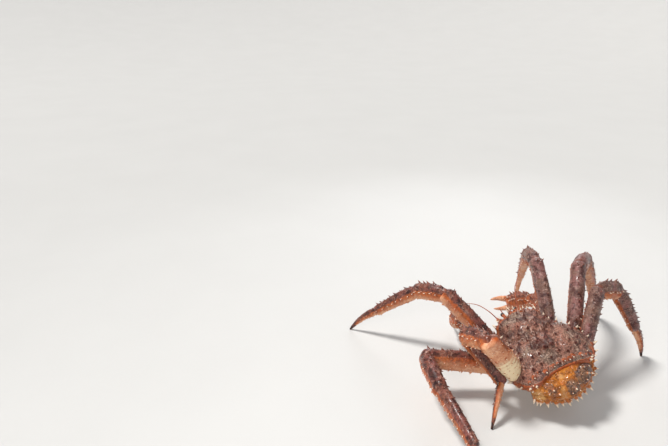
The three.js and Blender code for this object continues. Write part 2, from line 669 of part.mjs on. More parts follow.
// Spines on a boss: across and along, in its half widths and half lengths
const BOSS_SPINES = [[0, 0], [-0.5, 0.5], [0.55, 0.55], [0.1, -0.7]];
const FLAP_START = 0.5; // from here on the abdomen lies flat under the body
const ROW_STEP = 0.055; // between rows of spines
const abdomenLine = new THREE.CatmullRomCurve3(ABDOMEN_LINE.map(([y, z]) => point(0, y, z)));
const abdomenSize = (column, v) => along(ABDOMEN_LINE.map((row) => row[column]), v);

// A point of the abdomen: u across from -1 to 1, v along it, depth through it from 0 to 1.
function abdomenPoint(u, v, depth) {
  const thick = abdomenSize(3, v);
  const curl = 0.16 * u * u * (1 - smooth(0.45, 0.7, v));
  const crown = 0.25 * thick * u * u;
  const bosses = BOSSES.reduce((sum, [bu, bv, ru, rv]) => sum + bump(u, v, bu, bv, ru, rv), 0);
  const atMargin = 1 - smooth(0, 0.065, v);
  const raised = BOSS_HEIGHT * (1 - depth) * bosses + MARGIN_LIFT * (1 - depth) * atMargin;
  const forward = curl + MARGIN_REACH * (1 - Math.abs(u)) * atMargin;
  return abdomenLine
    .getPoint(v)
    .addScaledVector(abdomenOut(v), mm(raised - thick * depth * (1 - 0.45 * u * u) - crown))
    .add(point(abdomenSize(2, v) * u, forward, 0.02 * u * u));
}

function abdomenOut(v) {
  const tangent = abdomenLine.getTangent(v);
  return new THREE.Vector3(0, tangent.z, -tangent.y);
}

const ACROSS = 12; // strips from one edge of a plate to the other

function abdomenPlate(v0, v1) {
  const DOWN = v1 > FLAP_START ? 2 : 4;
  const inset = (0.5 * GAP) / abdomenLine.getLength();
  const rings = [];
  for (let i = 0; i <= DOWN; i++) {
    const v = THREE.MathUtils.lerp(v0 + inset, v1 - inset, i / DOWN);
    const shares = Array.from({ length: ACROSS + 1 }, (_, k) => (2 * k) / ACROSS - 1);
    const outside = shares.map((u) => abdomenPoint(u, v, 0));
    const inside = shares.map((u) => abdomenPoint(0.97 * u, v, 1));
    rings.push([...outside, ...inside.reverse()]);
  }
  return loft(rings);
}

// Strong cones round the edge of the abdomen, smaller ones on its bosses and along the folded plates.
function abdomenSpines(v0, v1) {
  const spines = [];
  const grow = (u, v, size, sides) => {
    const outward = abdomenOut(v).add(new THREE.Vector3(Math.abs(u) > 0.8 ? u * 1.2 : u * 0.5, 0, 0));
    const length = mm(size) * vary(0.15);
    spines.push(spine(abdomenPoint(u, v, 0.06), outward, length, mm(size) * SPINE_RADIUS, sides));
  };
  const inPlate = (v) => v > v0 + 0.015 && v < v1 - 0.015;
  for (let v = 0.07; v < 0.97; v += ROW_STEP) {
    if (!inPlate(v)) continue;
    const edge = v < FLAP_START ? 0.052 : 0.026;
    for (const u of [-0.93, 0.93]) grow(u, v, edge, v < FLAP_START ? 5 : 4);
  }
  for (const [v, shift] of [[0.4, 0], [0.46, 0.1]].filter(([at]) => inPlate(at))) {
    for (let u = -0.8 + shift; u <= 0.81; u += 0.2) grow(u, v, shift ? 0.036 : 0.056, 5);
  }
  for (const [bu, bv, ru, rv] of BOSSES) {
    for (const [du, dv] of BOSS_SPINES.filter(([, dv]) => inPlate(bv + dv * rv))) {
      grow(bu + du * ru, bv + dv * rv, du === 0 ? 0.045 : 0.03, 5);
    }
  }
  for (const u of [-0.75, -0.3, 0.3, 0.75].filter(() => inPlate(0.33))) grow(u, 0.33, 0.032, 4);
  return spines;
}

for (const [name, v0, v1] of ABDOMEN_PLATES) {
  const cuts = [thoraxKeepOut, shellKeepOut];
  piece(`abdomen_${name}`, ABDOMEN, abdomenPlate(v0, v1), abdomenSpines(v0, v1), cuts);
}

// Face: eyes on short stalks, feelers and the outer mouth limbs

const ball = (centre, radius) => {
  const sphere = new THREE.SphereGeometry(radius, 10, 7);
  sphere.translate(centre.x, centre.y, centre.z);
  return solid(sphere);
};

// A round tube on one side of the face, through points that are mirrored for the left.
function faceTube(side, points, radii, sides) {
  const path = points.map(([x, y, z]) => point(side * x, y, z));
  return sweep(path, radii.map(mm), radii.map(mm), new THREE.Vector3(0, 0, 1), sides);
}
const EYE_RADIUS = 0.027;
const EYE_CENTRE = [0.08956, 1.07, 0.0368];
const STALK = [[0.075, 0.93, 0.02], [0.0828, 1.005, 0.029], [0.088, 1.055, 0.035]];
const ANTENNA = [
  [0.13, 0.93, -0.03], [0.15, 1.03, -0.03], [0.16, 1.09, -0.015],
  [0.2, 1.2, 0.04], [0.28, 1.34, 0.09], [0.4, 1.45, 0.1],
];
const ANTENNA_RADII = [
  0.028, 0.027, 0.026, 0.024, 0.02, 0.008, 0.0065, 0.006, 0.0055, 0.005, 0.0045, 0.004, 0.003,
];
const ANTENNULE = [
  [0.035, 0.95, -0.02], [0.04, 1.05, -0.035], [0.045, 1.12, -0.03], [0.055, 1.17, 0.01], [0.06, 1.2, 0.03],
];
const MOUTH_LIMB = [
  [0.06, 0.84, -0.19], [0.07, 0.93, -0.19], [0.075, 1.0, -0.17],
  [0.06, 1.03, -0.21], [0.035, 1.02, -0.26], [0.025, 0.99, -0.29],
];

for (const [side, sideName] of [[-1, "left"], [1, "right"]]) {
  const [eyeX, eyeY, eyeZ] = EYE_CENTRE;
  const eyeCentre = point(side * eyeX, eyeY, eyeZ);
  const socket = ball(eyeCentre, mm(EYE_RADIUS) + GAP);
  const stalk = faceTube(side, STALK, [0.022, 0.018, 0.02], 8);
  piece(`eyestalk_${sideName}`, FEELER, stalk, [], [socket, shellKeepOut]);
  piece(`eye_${sideName}`, EYE, ball(eyeCentre, mm(EYE_RADIUS)));

  const curve = new THREE.CatmullRomCurve3(ANTENNA.map((p) => new THREE.Vector3(...p)));
  const feeler = curve.getPoints(ANTENNA_RADII.length - 1).map((p) => p.toArray());
  piece(`antenna_${sideName}`, FEELER, faceTube(side, feeler, ANTENNA_RADII, 6), [], [shellKeepOut]);

  const small = faceTube(side, ANTENNULE, [0.013, 0.011, 0.009, 0.005, 0.003], 6);
  piece(`antennule_${sideName}`, FEELER, small, [], [shellKeepOut]);

  const jaw = faceTube(side, MOUTH_LIMB, [0.03, 0.032, 0.029, 0.025, 0.02, 0.009], 8);
  piece(`mouth_limb_${sideName}`, FEELER, jaw, [], [thoraxKeepOut, shellKeepOut]);
}

finish();

// The tilted body faces -Y and stands on z = 0, with the middle of its footprint on the origin.
const standing = new THREE.Group();
standing.add(crab);
const turnRound = new THREE.Quaternion().setFromAxisAngle(new THREE.Vector3(0, 0, 1), Math.PI);
crab.quaternion.copy(turnRound.multiply(tilt));
crab.position.set(0, 0, STANDING_HEIGHT);
standing.updateMatrixWorld(true);
const bounds = new THREE.Box3().setFromObject(standing, true);
crab.position.x -= (bounds.min.x + bounds.max.x) / 2;
crab.position.y -= (bounds.min.y + bounds.max.y) / 2;

export default standing;
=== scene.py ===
# %% [markdown]
# # A red king crab, spine by spine
# A king crab is a suit of armour: one broad shell, a folded abdomen and a chain of hollow tubes for
# each leg, all of them set with cones. Every form here is a surface worked out by a formula from a
# few proportions of the animal, so that each plate can be made fine and its spines can be planted
# along it. Sculpting by hand would give the same forms, but a formula keeps every part in step with
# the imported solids.

import math

import bpy
import numpy as np
from mathutils import Matrix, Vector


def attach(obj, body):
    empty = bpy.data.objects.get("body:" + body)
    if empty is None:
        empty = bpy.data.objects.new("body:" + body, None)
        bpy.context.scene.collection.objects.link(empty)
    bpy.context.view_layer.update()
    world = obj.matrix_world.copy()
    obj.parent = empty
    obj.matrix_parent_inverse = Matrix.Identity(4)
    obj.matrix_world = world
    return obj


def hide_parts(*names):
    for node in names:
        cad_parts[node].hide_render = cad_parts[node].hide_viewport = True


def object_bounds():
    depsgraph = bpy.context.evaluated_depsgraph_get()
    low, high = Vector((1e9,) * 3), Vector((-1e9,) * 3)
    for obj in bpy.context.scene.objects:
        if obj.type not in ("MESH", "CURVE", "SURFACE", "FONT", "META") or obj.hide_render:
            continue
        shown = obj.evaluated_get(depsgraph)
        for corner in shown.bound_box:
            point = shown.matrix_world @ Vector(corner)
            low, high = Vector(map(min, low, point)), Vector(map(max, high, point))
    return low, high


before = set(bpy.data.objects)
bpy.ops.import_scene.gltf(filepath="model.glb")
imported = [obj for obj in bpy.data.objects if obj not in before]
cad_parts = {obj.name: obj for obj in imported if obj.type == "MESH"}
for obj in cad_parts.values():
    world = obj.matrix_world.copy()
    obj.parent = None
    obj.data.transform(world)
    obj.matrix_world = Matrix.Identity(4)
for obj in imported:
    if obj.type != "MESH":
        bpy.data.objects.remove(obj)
cad_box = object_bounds()
print("solids in the frame:", len(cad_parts))

# %% [markdown]
# ## The body's own frame
# Lengths are shares of the shell's length, with X to the crab's right, Y forward and Z up. The
# animal stands with its left rear side low, so the whole body is tilted, turned to face -Y and moved
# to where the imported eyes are. Working in the body's frame keeps left and right simple mirrors.

# %% Proportions and the way to the floor
SHELL_LENGTH = 0.150  # metres
STANDING_HEIGHT = 0.080 / SHELL_LENGTH
NOSE_UP, LEAN = math.radians(10), math.radians(-20)
TILT = Matrix.Rotation(NOSE_UP, 3, "X") @ Matrix.Rotation(LEAN, 3, "Y")
TO_WORLD = np.array(Matrix.Rotation(math.pi, 3, "Z") @ TILT)
UP = np.array(TILT)[2]
EYE_CENTRE = np.array([0.08956, 1.07, 0.0368])
SIDES = {"left": -1, "right": 1}


def flip(side):
    """Factors that carry a point of the right half to a side, 1 or -1."""
    return np.array([side, 1.0, 1.0])


def middle_of(node):
    corners = np.array([v.co[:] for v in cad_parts[node].data.vertices])
    return np.unique(corners.round(6), axis=0).mean(axis=0)


eye_places = SHELL_LENGTH * np.array([EYE_CENTRE * flip(side) for side in SIDES.values()]) @ TO_WORLD.T
OFFSET = (np.array([middle_of("eye_left"), middle_of("eye_right")]) - eye_places).mean(axis=0)


def stand(points):
    """Moves points from shares in the body's frame to metres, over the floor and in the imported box."""
    placed = SHELL_LENGTH * np.asarray(points, float) @ TO_WORLD.T + OFFSET
    return np.clip(placed, *np.array(cad_box))


print("the body's origin stands at", OFFSET.round(4))

# %% [markdown]
# ## The camera
# The photograph looks down at the crab from behind its left shoulder with a wide lens, and the crab
# lies right of the middle. The camera is therefore set beside the body and looks past it, because
# turning it to the crab would change the perspective.

# %% Camera
CAMERA_FROM_BODY = np.array([0.6009, 0.555])
CAMERA_HEIGHT = 0.651
LOOK_ALONG = (-0.322, -0.947)
LOOK_DOWN = math.radians(22.1)
camera_data = bpy.data.cameras.new("camera")
camera_data.lens = 28.0
camera_data.sensor_width = 36.0
camera_data.clip_end = 60.0
camera = bpy.data.objects.new("camera", camera_data)
bpy.context.collection.objects.link(camera)
camera.location = (*(OFFSET[:2] + CAMERA_FROM_BODY), CAMERA_HEIGHT)
camera.rotation_euler = (math.pi / 2 - LOOK_DOWN, 0.0, math.atan2(-LOOK_ALONG[0], LOOK_ALONG[1]))
bpy.context.scene.camera = camera
print("camera at", tuple(round(c, 3) for c in camera.location))

# %% [markdown]
# ## Small tools
# Smooth steps and round bumps shape every surface. Uneven growth is a sum of a few slow waves with
# seeded directions: cheaper than a noise texture, and the same on each run. Outlines are splines
# through a few places that were read from the animal.

# %% Steps, bumps and waves
WAVE_RANGE, WAVE_GAIN = (0.6, 1.7), 2.4
rng = np.random.default_rng(11)


def smooth(low, high, x):
    t = np.clip((np.asarray(x, float) - low) / (high - low), 0, 1)
    return t * t * (3 - 2 * t)


def bell(x, centre, width):
    return np.exp(-(((x - centre) / width) ** 2))


def bump(x, y, cx, cy, rx, ry):
    return np.exp(-(((x - cx) / rx) ** 2) - ((y - cy) / ry) ** 2)


def round_turns(count):
    return np.linspace(0, 2 * math.pi, count, endpoint=False)


def ring(across, over, turns):
    """Directions round an axis, from the two directions across it."""
    return across * np.cos(turns)[:, None] + over * np.sin(turns)[:, None]


def unit(v):
    return v / np.maximum(np.linalg.norm(v, axis=-1, keepdims=True), 1e-9)


def waves(points, size, seed, count=14):
    """An uneven field, about -1 to 1, whose features are about one size across."""
    own = np.random.default_rng(seed)
    directions = unit(own.normal(size=(count, 3))) * own.uniform(*WAVE_RANGE, (count, 1))
    phases = own.uniform(0, 2 * math.pi, count)
    return np.sin(points @ (directions * 2 * math.pi / size).T + phases).mean(axis=-1) * WAVE_GAIN


print("a step half way:", smooth(0, 1, 0.5))


# %% Curves
def along(values, t):
    """The value at share t of evenly spaced values."""
    values = np.asarray(values, float)
    at = np.clip(t, 0, 1) * (len(values) - 1)
    i = np.minimum(at.astype(int), len(values) - 2)
    share = at - i
    return values[i] * (1 - share) + values[i + 1] * share


def curve(points, closed=False, steps=40):
    """A smooth curve through points: the centripetal Catmull-Rom spline, steps to each stretch."""
    points = np.asarray(points, float)
    if closed:
        padded = np.vstack([points[-1:], points, points[:2]])
    else:
        padded = np.vstack([2 * points[0] - points[1], points, 2 * points[-1] - points[-2]])
    t = np.linspace(0, 1, steps, endpoint=False)[:, None]
    found = []
    for a, b, c, d in zip(padded, padded[1:], padded[2:], padded[3:]):
        before, here, after = (max(np.linalg.norm(q - p) ** 0.5, 1e-4) for p, q in ((a, b), (b, c), (c, d)))
        leave = ((b - a) / before - (c - a) / (before + here) + (c - b) / here) * here
        arrive = ((c - b) / here - (d - b) / (here + after) + (d - c) / after) * here
        found.append(
            (2 * t**3 - 3 * t**2 + 1) * b
            + (t**3 - 2 * t**2 + t) * leave
            + (3 * t**2 - 2 * t**3) * c
            + (t**3 - t**2) * arrive
        )
    return np.vstack(found if closed else [*found, points[-1:]])


print("points in a curve through three:", len(curve([(0, 0), (1, 1), (2, 0)])))

# %% [markdown]
# ## From arrays to a piece
# A piece is gathered as grids of points before Blender sees it. Three marks travel with each point:
# how near a spine's tip it is, which zone of colour it belongs to, and how near a joint it is. The
# materials read these marks, so a spine can be pale at its tip whatever its place on the plate.
# Zone 1 is the dark back, a half is the orange flank, 0 is the cream belly, and less is ivory. A
# spine of a zone over 0.9 gets a dark tip, so most spines are kept just under that.

# %% The lump of points that becomes a piece
PALE_TIPPED = 0.88


def tube_walls(rings, sides):
    """The faces between the rings of a closed tube."""
    index = np.arange(rings * sides).reshape(rings, sides)
    ahead = np.roll(index, -1, axis=1)
    return np.stack([index[:-1], ahead[:-1], ahead[1:], index[1:]], axis=-1).reshape(-1, 4)


class Clay:
    def __init__(self):
        self.points, self.faces, self.tips, self.zones, self.joints = [], [], [], [], []
        self.count = 0

    def add(self, points, faces, tip, zone, joint):
        size = points.shape[:-1]
        for store, values in ((self.tips, tip), (self.zones, zone), (self.joints, joint)):
            store.append(np.broadcast_to(values, size).reshape(-1))
        self.points.append(points.reshape(-1, 3))
        self.faces += (np.asarray(faces) + self.count).tolist()
        self.count += len(self.points[-1])

    def tube(self, points, tip=0.0, zone=1.0, joint=0.0):
        """Rows of points as one skin that closes on itself and at both ends."""
        rings, sides = points.shape[:2]
        first = np.arange(sides) + self.count
        self.add(points, tube_walls(rings, sides), tip, zone, joint)
        self.faces += [first[::-1].tolist(), (first + (rings - 1) * sides).tolist()]


PIECES = {}


def make_piece(node, clay, material):
    """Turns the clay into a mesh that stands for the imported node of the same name."""
    mesh = bpy.data.meshes.new(node + "_skin")
    mesh.from_pydata(stand(np.vstack(clay.points)), [], clay.faces)
    for label, stores in (("tip", clay.tips), ("zone", clay.zones), ("joint", clay.joints)):
        layer = mesh.attributes.new(label, "FLOAT", "POINT")
        layer.data.foreach_set("value", np.concatenate(stores).astype(np.float32))
    mesh.polygons.foreach_set("use_smooth", np.ones(len(mesh.polygons), bool))
    mesh.validate()
    piece = bpy.data.objects.new(node + "_skin", mesh)
    bpy.context.collection.objects.link(piece)
    piece.data.materials.append(material)
    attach(piece, "root")
    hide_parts(node)
    PIECES[node] = piece


print("marks on each point: tip, zone and joint")

# %% [markdown]
# ## A spine
# A king crab's spine isn't a plain cone. Its foot spreads into the plate, it narrows quickly and
# then runs out to a sharp, slightly bent point. A short profile turned round the axis gives that,
# and one call plants hundreds of them as a single array.

# %% Plant spines
# Heights are shares of the length, and widths are shares of the radius
SPINE_HEIGHTS = np.array([-0.3, -0.08, 0.06, 0.24, 0.48, 0.72, 0.9, 1])
SPINE_WIDTHS = np.array([1.5, 1.22, 0.94, 0.7, 0.47, 0.27, 0.13, 0.03])


def plant(clay, roots, outs, lengths, radii, zone, bend=(0, 0, 0), sides=9, mark=1.0):
    """Spines from their roots along outs. The bend leans their points, and mark scales the tip mark."""
    roots = np.atleast_2d(roots)
    count, rings = len(roots), len(SPINE_HEIGHTS)
    if count == 0:
        return
    axis = unit(np.broadcast_to(outs, roots.shape).astype(float))
    lengths = np.broadcast_to(lengths, count)[:, None, None]
    radii = np.broadcast_to(radii, count)[:, None, None]
    aside = np.where(np.abs(axis[:, 2:]) > 0.9, [[1.0, 0, 0]], [[0, 0, 1.0]])
    across = unit(np.cross(axis, aside))
    over = np.cross(axis, across)
    circle = ring(across[:, None], over[:, None], round_turns(sides))
    grown = np.clip(SPINE_HEIGHTS, 0, 1)[None, :, None]
    rise = axis[:, None] * (lengths * SPINE_HEIGHTS[None, :, None])
    middle = roots[:, None] + rise + np.asarray(bend, float) * lengths * grown**2
    points = middle[:, :, None] + circle[:, None] * (radii * SPINE_WIDTHS[None, :, None])[:, :, None]
    starts = np.arange(count)[:, None] * rings * sides
    ends = clay.count + starts + np.arange((rings - 1) * sides, rings * sides)
    tips = np.broadcast_to(np.reshape(mark, (-1, 1, 1)) * grown, points.shape[:3])
    zones = np.broadcast_to(np.reshape(zone, (-1, 1, 1)), points.shape[:3])
    walls = tube_walls(rings, sides) + starts[..., None]
    clay.add(points, walls.reshape(-1, 4), tips, zones, 0.0)
    clay.faces += ends.tolist()


print("rings in one spine:", len(SPINE_HEIGHTS))

# %% [markdown]
# ## Effects that the materials share
# Mottling, spine tips, granules and the wet film come back on every plate, so each is a node group
# with named inputs, built once. A material places a group and gives it its own colours and sizes.
# Textures are read in metres on the model, so a blotch keeps its size from plate to plate.


# %% Nodes and links
def feed(tree, value, target):
    """Gives an input a link from a socket, three numbers, or one number."""
    if isinstance(value, bpy.types.NodeSocket):
        tree.links.new(value, target)
    elif isinstance(value, tuple):
        target.default_value = (*value, 1.0)[: len(target.default_value)]
    else:
        target.default_value = value


def node(tree, kind, **settings):
    """A shader node. A setting is a property of the node, or else one of its inputs."""
    made = tree.nodes.new("ShaderNode" + kind)
    for name, value in settings.items():
        if hasattr(made, name):
            setattr(made, name, value)
        else:
            feed(tree, value, made.inputs[name.replace("_", " ")])
    return made


def where(tree):
    return tree.nodes.new("ShaderNodeTexCoord").outputs["Object"]


def fuzz(tree, scale, detail=4.0, rough=0.6, stretch=0.0):
    """A noise of the given features to the metre."""
    settings = dict(Vector=where(tree), Scale=scale, Detail=detail, Roughness=rough, Distortion=stretch)
    return node(tree, "TexNoise", **settings).outputs["Fac"]


def ramp(tree, value, low, high):
    """A smooth step between two plain values."""
    settings = dict(Value=value, From_Min=low, From_Max=high)
    return node(tree, "MapRange", interpolation_type="SMOOTHSTEP", **settings).outputs["Result"]


def arithmetic(kind):
    def combine(tree, first, second):
        made = node(tree, "Math", operation=kind)
        feed(tree, first, made.inputs[0])
        feed(tree, second, made.inputs[1])
        return made.outputs["Value"]

    return combine


times, plus, minus = arithmetic("MULTIPLY"), arithmetic("ADD"), arithmetic("SUBTRACT")


def mix(tree, share, first, second):
    """Mixes two colours, each a socket or three numbers."""
    made = node(tree, "Mix", data_type="RGBA")
    for index, value in ((0, share), (6, first), (7, second)):
        feed(tree, value, made.inputs[index])
    return made.outputs[2]


print("node helpers ready")

# %% Node groups
SOCKETS = {"colour": "NodeSocketColor", "value": "NodeSocketFloat"}
GREY = (0.5, 0.5, 0.5)


def effect(name, inputs, **outputs):
    """A node group. Inputs are {name: colour or number}, and outputs say which of the two they are."""
    tree = bpy.data.node_groups.new(name, "ShaderNodeTree")
    for label, value in inputs.items():
        kind = SOCKETS["colour" if isinstance(value, tuple) else "value"]
        socket = tree.interface.new_socket(label, in_out="INPUT", socket_type=kind)
        feed(tree, value, socket)
    for label, kind in outputs.items():
        tree.interface.new_socket(label, in_out="OUTPUT", socket_type=SOCKETS[kind])
    return tree, tree.nodes.new("NodeGroupInput").outputs, tree.nodes.new("NodeGroupOutput").inputs


def place(tree, group, **values):
    """Puts a node group into a tree and returns its outputs."""
    made = tree.nodes.new("ShaderNodeGroup")
    made.node_tree = group
    for label, value in values.items():
        feed(tree, value, made.inputs[label])
    return made.outputs


print("kinds of socket:", ", ".join(SOCKETS))

# %% [markdown]
# ### Mottling
# Crab shell is never one colour: pigment gathers in clouds and fades where the shell is scraped.
# Four colours laid over each other by noises of different size do this. The darkening in the pits
# is painted shade, which the armour recipe adds.


# %% Mottling group
def mottling_group():
    inputs = dict(Dark=GREY, Middle=GREY, Second=GREY, Pale=GREY, Scale=60.0, Scuffs=0.5)
    tree, given, made = effect("Mottling", inputs, Colour="colour")
    scale = given["Scale"]
    clouds = fuzz(tree, scale, 6.0, 0.65, 0.6)
    fine = fuzz(tree, times(tree, scale, 5.3), 5.0, 0.7)
    grainy = plus(tree, times(tree, clouds, 0.7), times(tree, fine, 0.3))
    slow = fuzz(tree, times(tree, scale, 0.42), 3.0, 0.55, 0.5)
    middle = mix(tree, ramp(tree, slow, 0.42, 0.6), given["Middle"], given["Second"])
    body = mix(tree, ramp(tree, grainy, 0.4, 0.56), given["Dark"], middle)
    scraped = ramp(tree, fuzz(tree, times(tree, scale, 1.7), 8.0, 0.72, 1.2), 0.52, 0.68)
    feed(tree, mix(tree, times(tree, scraped, given["Scuffs"]), body, given["Pale"]), made["Colour"])
    return tree


MOTTLING = mottling_group()
print("mottling:", len(MOTTLING.nodes), "nodes")

# %% [markdown]
# ### Spine tips
# The mark that each point carries runs from 0 at a spine's foot to 1 at its tip. The foot is stained
# and the tip is horny: pale on the legs and the rim, dark on the back of the shell.


# %% Spine tint group
def spine_group():
    inputs = dict(Surface=GREY, Foot=GREY, Tip=GREY, Along=0.0)
    tree, given, made = effect("Spine tint", inputs, Colour="colour")
    uneven = times(tree, minus(tree, fuzz(tree, 420.0), 0.5), 0.3)
    foot = ramp(tree, given["Along"], 0.08, 0.3)
    tip = ramp(tree, plus(tree, given["Along"], uneven), 0.3, 0.62)
    stained = mix(tree, foot, given["Surface"], given["Foot"])
    feed(tree, mix(tree, tip, stained, given["Tip"]), made["Colour"])
    return tree


SPINE_TINT = spine_group()
print("spine tint:", len(SPINE_TINT.nodes), "nodes")

# %% [markdown]
# ### Granules
# Under the big spines the shell is pebbled, with pits between the pebbles. A cell texture gives the
# pebbles, a noise shifts its cells so that they don't line up, and a fine noise gives the grain.
# Together they make one height for the Bump node. A second output marks the pits between the
# pebbles, where the armour paints shade.

# %% Granule group
CELL_SHIFT = (0.003, 0.003, 0.003)  # metres


def granule_group():
    tree, given, made = effect("Granules", dict(Scale=380.0, Pebbles=0.6), Height="value", Pits="value")
    scale, places = given["Scale"], where(tree)
    wobble = node(tree, "TexNoise", Vector=places, Scale=scale, Detail=3.0, Distortion=0.8)
    moved = node(tree, "VectorMath", operation="MULTIPLY_ADD")
    for socket, value in zip(moved.inputs, (wobble.outputs["Color"], CELL_SHIFT, places)):
        feed(tree, value, socket)
    settings = dict(Vector=moved.outputs["Vector"], Scale=scale, Smoothness=0.6)
    cells = node(tree, "TexVoronoi", feature="SMOOTH_F1", **settings)
    pebble = ramp(tree, cells.outputs["Distance"], 0.7, 0.05)
    fine = fuzz(tree, times(tree, scale, 2.3), 4.0, 0.7)
    slow = fuzz(tree, times(tree, scale, 0.22), 3.0, 0.5)
    uneven = plus(tree, times(tree, fine, 0.35), times(tree, slow, 0.8))
    feed(tree, plus(tree, times(tree, pebble, given["Pebbles"]), uneven), made["Height"])
    # The pits between the pebbles: a mask for painted shade
    feed(tree, ramp(tree, pebble, 0.35, 0.0), made["Pits"])
    return tree


GRANULES = granule_group()
print("granules:", len(GRANULES.nodes), "nodes")

# %% [markdown]
# ### Wet film
# Sea water lies on the animal in patches, so some of the shell shines and some of it has dried. One
# mask drives both the roughness and the clear coat, so the two always agree.


# %% Wet film group
def film_group():
    inputs = dict(Dry=0.6, Wet=0.3, Scale=35.0)
    tree, given, made = effect("Wet film", inputs, Roughness="value", Film="value")
    patches = ramp(tree, fuzz(tree, given["Scale"], 5.0, 0.6, 0.8), 0.38, 0.62)
    wetter = times(tree, minus(tree, given["Wet"], given["Dry"]), patches)
    grit = times(tree, minus(tree, fuzz(tree, 900.0), 0.5), 0.16)
    feed(tree, plus(tree, plus(tree, given["Dry"], wetter), grit), made["Roughness"])
    feed(tree, times(tree, patches, 0.4), made["Film"])
    return tree


WET_FILM = film_group()
print("wet film:", len(WET_FILM.nodes), "nodes")

# %% [markdown]
# ## Armour
# All the hard parts are the same stuff: dark pigment above, orange along the sides and cream
# underneath, with red skin in the joints. One recipe reads the marks, and each part of the animal
# gives it its own pigments. The colours of the flank and the belly are worked out from two, because
# pigments that fade into each other share their hues.

# %% Pigments that several parts share
CREAM = (0.7, 0.36, 0.2)
IVORY = (0.78, 0.62, 0.4)
WHITE_TIP = (0.82, 0.66, 0.5)
ORANGE = (0.44, 0.085, 0.014)
RED = (0.22, 0.045, 0.016)
HORN = (0.03, 0.01, 0.008)


def new_material(name):
    material = bpy.data.materials.new(name)
    material.use_nodes = True
    return material, material.node_tree, material.node_tree.nodes["Principled BSDF"].inputs


def coat(tree, colours, scale, scuffs):
    """Mottled pigment from four colours: dark, two middles and pale."""
    four = {label: tuple(map(float, c)) for label, c in zip(("Dark", "Middle", "Second", "Pale"), colours)}
    return place(tree, MOTTLING, **four, Scale=scale, Scuffs=scuffs)["Colour"]


def relief(tree, shader, height, strength, depth):
    bent = node(tree, "Bump", Strength=strength, Distance=depth, Height=height)
    feed(tree, bent.outputs["Normal"], shader["Normal"])


print("shared pigments: cream, ivory, white, orange, red and horn")


# %% The armour recipe
def layers(tree, zone, back, side, under, zones, spots, scuffs):
    """The colour from the ivory of the lowest zone up to the pigmented back."""
    side, under = np.array(side), np.array(under)
    flank = (0.42 * side, side, side * (1.08, 1.35, 1.5), 0.6 * side + 0.4 * under)
    pale = 0.5 * under + (0.42, 0.34, 0.26)
    belly = (0.5 * side + 0.36 * under, under, under * (0.86, 0.74, 0.7), pale)
    colour = coat(tree, belly, 1.1 * spots, 0.7)
    colour = mix(tree, ramp(tree, zone, -0.02, -0.5), colour, IVORY)
    colour = mix(tree, ramp(tree, zone, *zones[:2]), colour, coat(tree, flank, 1.6 * spots, 0.6))
    return mix(tree, ramp(tree, zone, *zones[2:]), colour, coat(tree, back, spots, scuffs))


def armour(
    name, back, foot, side=ORANGE, under=CREAM, joint=RED, tips=(WHITE_TIP, WHITE_TIP), spots=60.0,
    scuffs=0.5, grain=380.0, pebbles=0.6, pit_shade=0.35, zones=(0.1, 0.42, 0.5, 0.8), dry=0.6, wet=0.32,
    depth=0.0006,
):
    """Four colours for the back; tips are the ends of spines off it and on it; depth is in metres."""
    material, tree, shader = new_material(name)
    tip, own_zone, near = (
        node(tree, "Attribute", attribute_name=label).outputs["Fac"] for label in ("tip", "zone", "joint")
    )
    drift = times(tree, minus(tree, fuzz(tree, 95.0, 5.0, 0.65, 0.5), 0.5), 0.4)
    zone = plus(tree, own_zone, drift)
    colour = layers(tree, zone, back, side, under, zones, spots, scuffs)
    skin = times(tree, ramp(tree, plus(tree, near, drift), 0.5, 1.1), 0.7)
    colour = mix(tree, skin, colour, joint)
    end = mix(tree, ramp(tree, own_zone, 0.9, 0.98), *tips)
    stain = mix(tree, ramp(tree, own_zone, 0.2, 0.55), side, foot)
    tinted = place(tree, SPINE_TINT, Surface=colour, Foot=stain, Tip=end, Along=tip)
    pebbled = place(tree, GRANULES, Scale=grain, Pebbles=pebbles)
    # Painted shade: the pits between the pebbles darken towards a deep copy of the back's darkest colour
    shade = times(tree, pebbled["Pits"], times(tree, ramp(tree, zone, 0.3, 0.8), pit_shade))
    shade_colour = tuple(0.35 * c for c in back[0])
    feed(tree, mix(tree, shade, tinted["Colour"], shade_colour), shader["Base Color"])
    film = place(tree, WET_FILM, Dry=dry, Wet=wet)
    feed(tree, film["Roughness"], shader["Roughness"])
    feed(tree, film["Film"], shader["Coat Weight"])
    shader["Coat Roughness"].default_value = 0.12
    shader["Specular IOR Level"].default_value = 0.35
    relief(tree, shader, pebbled["Height"], 0.7, depth)
    return material


print("armour reads the marks tip, zone and joint")

# %% [markdown]
# ### Pigments
# The back is a grey purple brown, scraped pale. The left legs are dark red brown and wet, and the
# right ones are paler, drier and rougher. The abdomen is yellow orange with purple grey bosses, and
# the belly is cream. These colours are linear, so they look darker as numbers than on the screen.

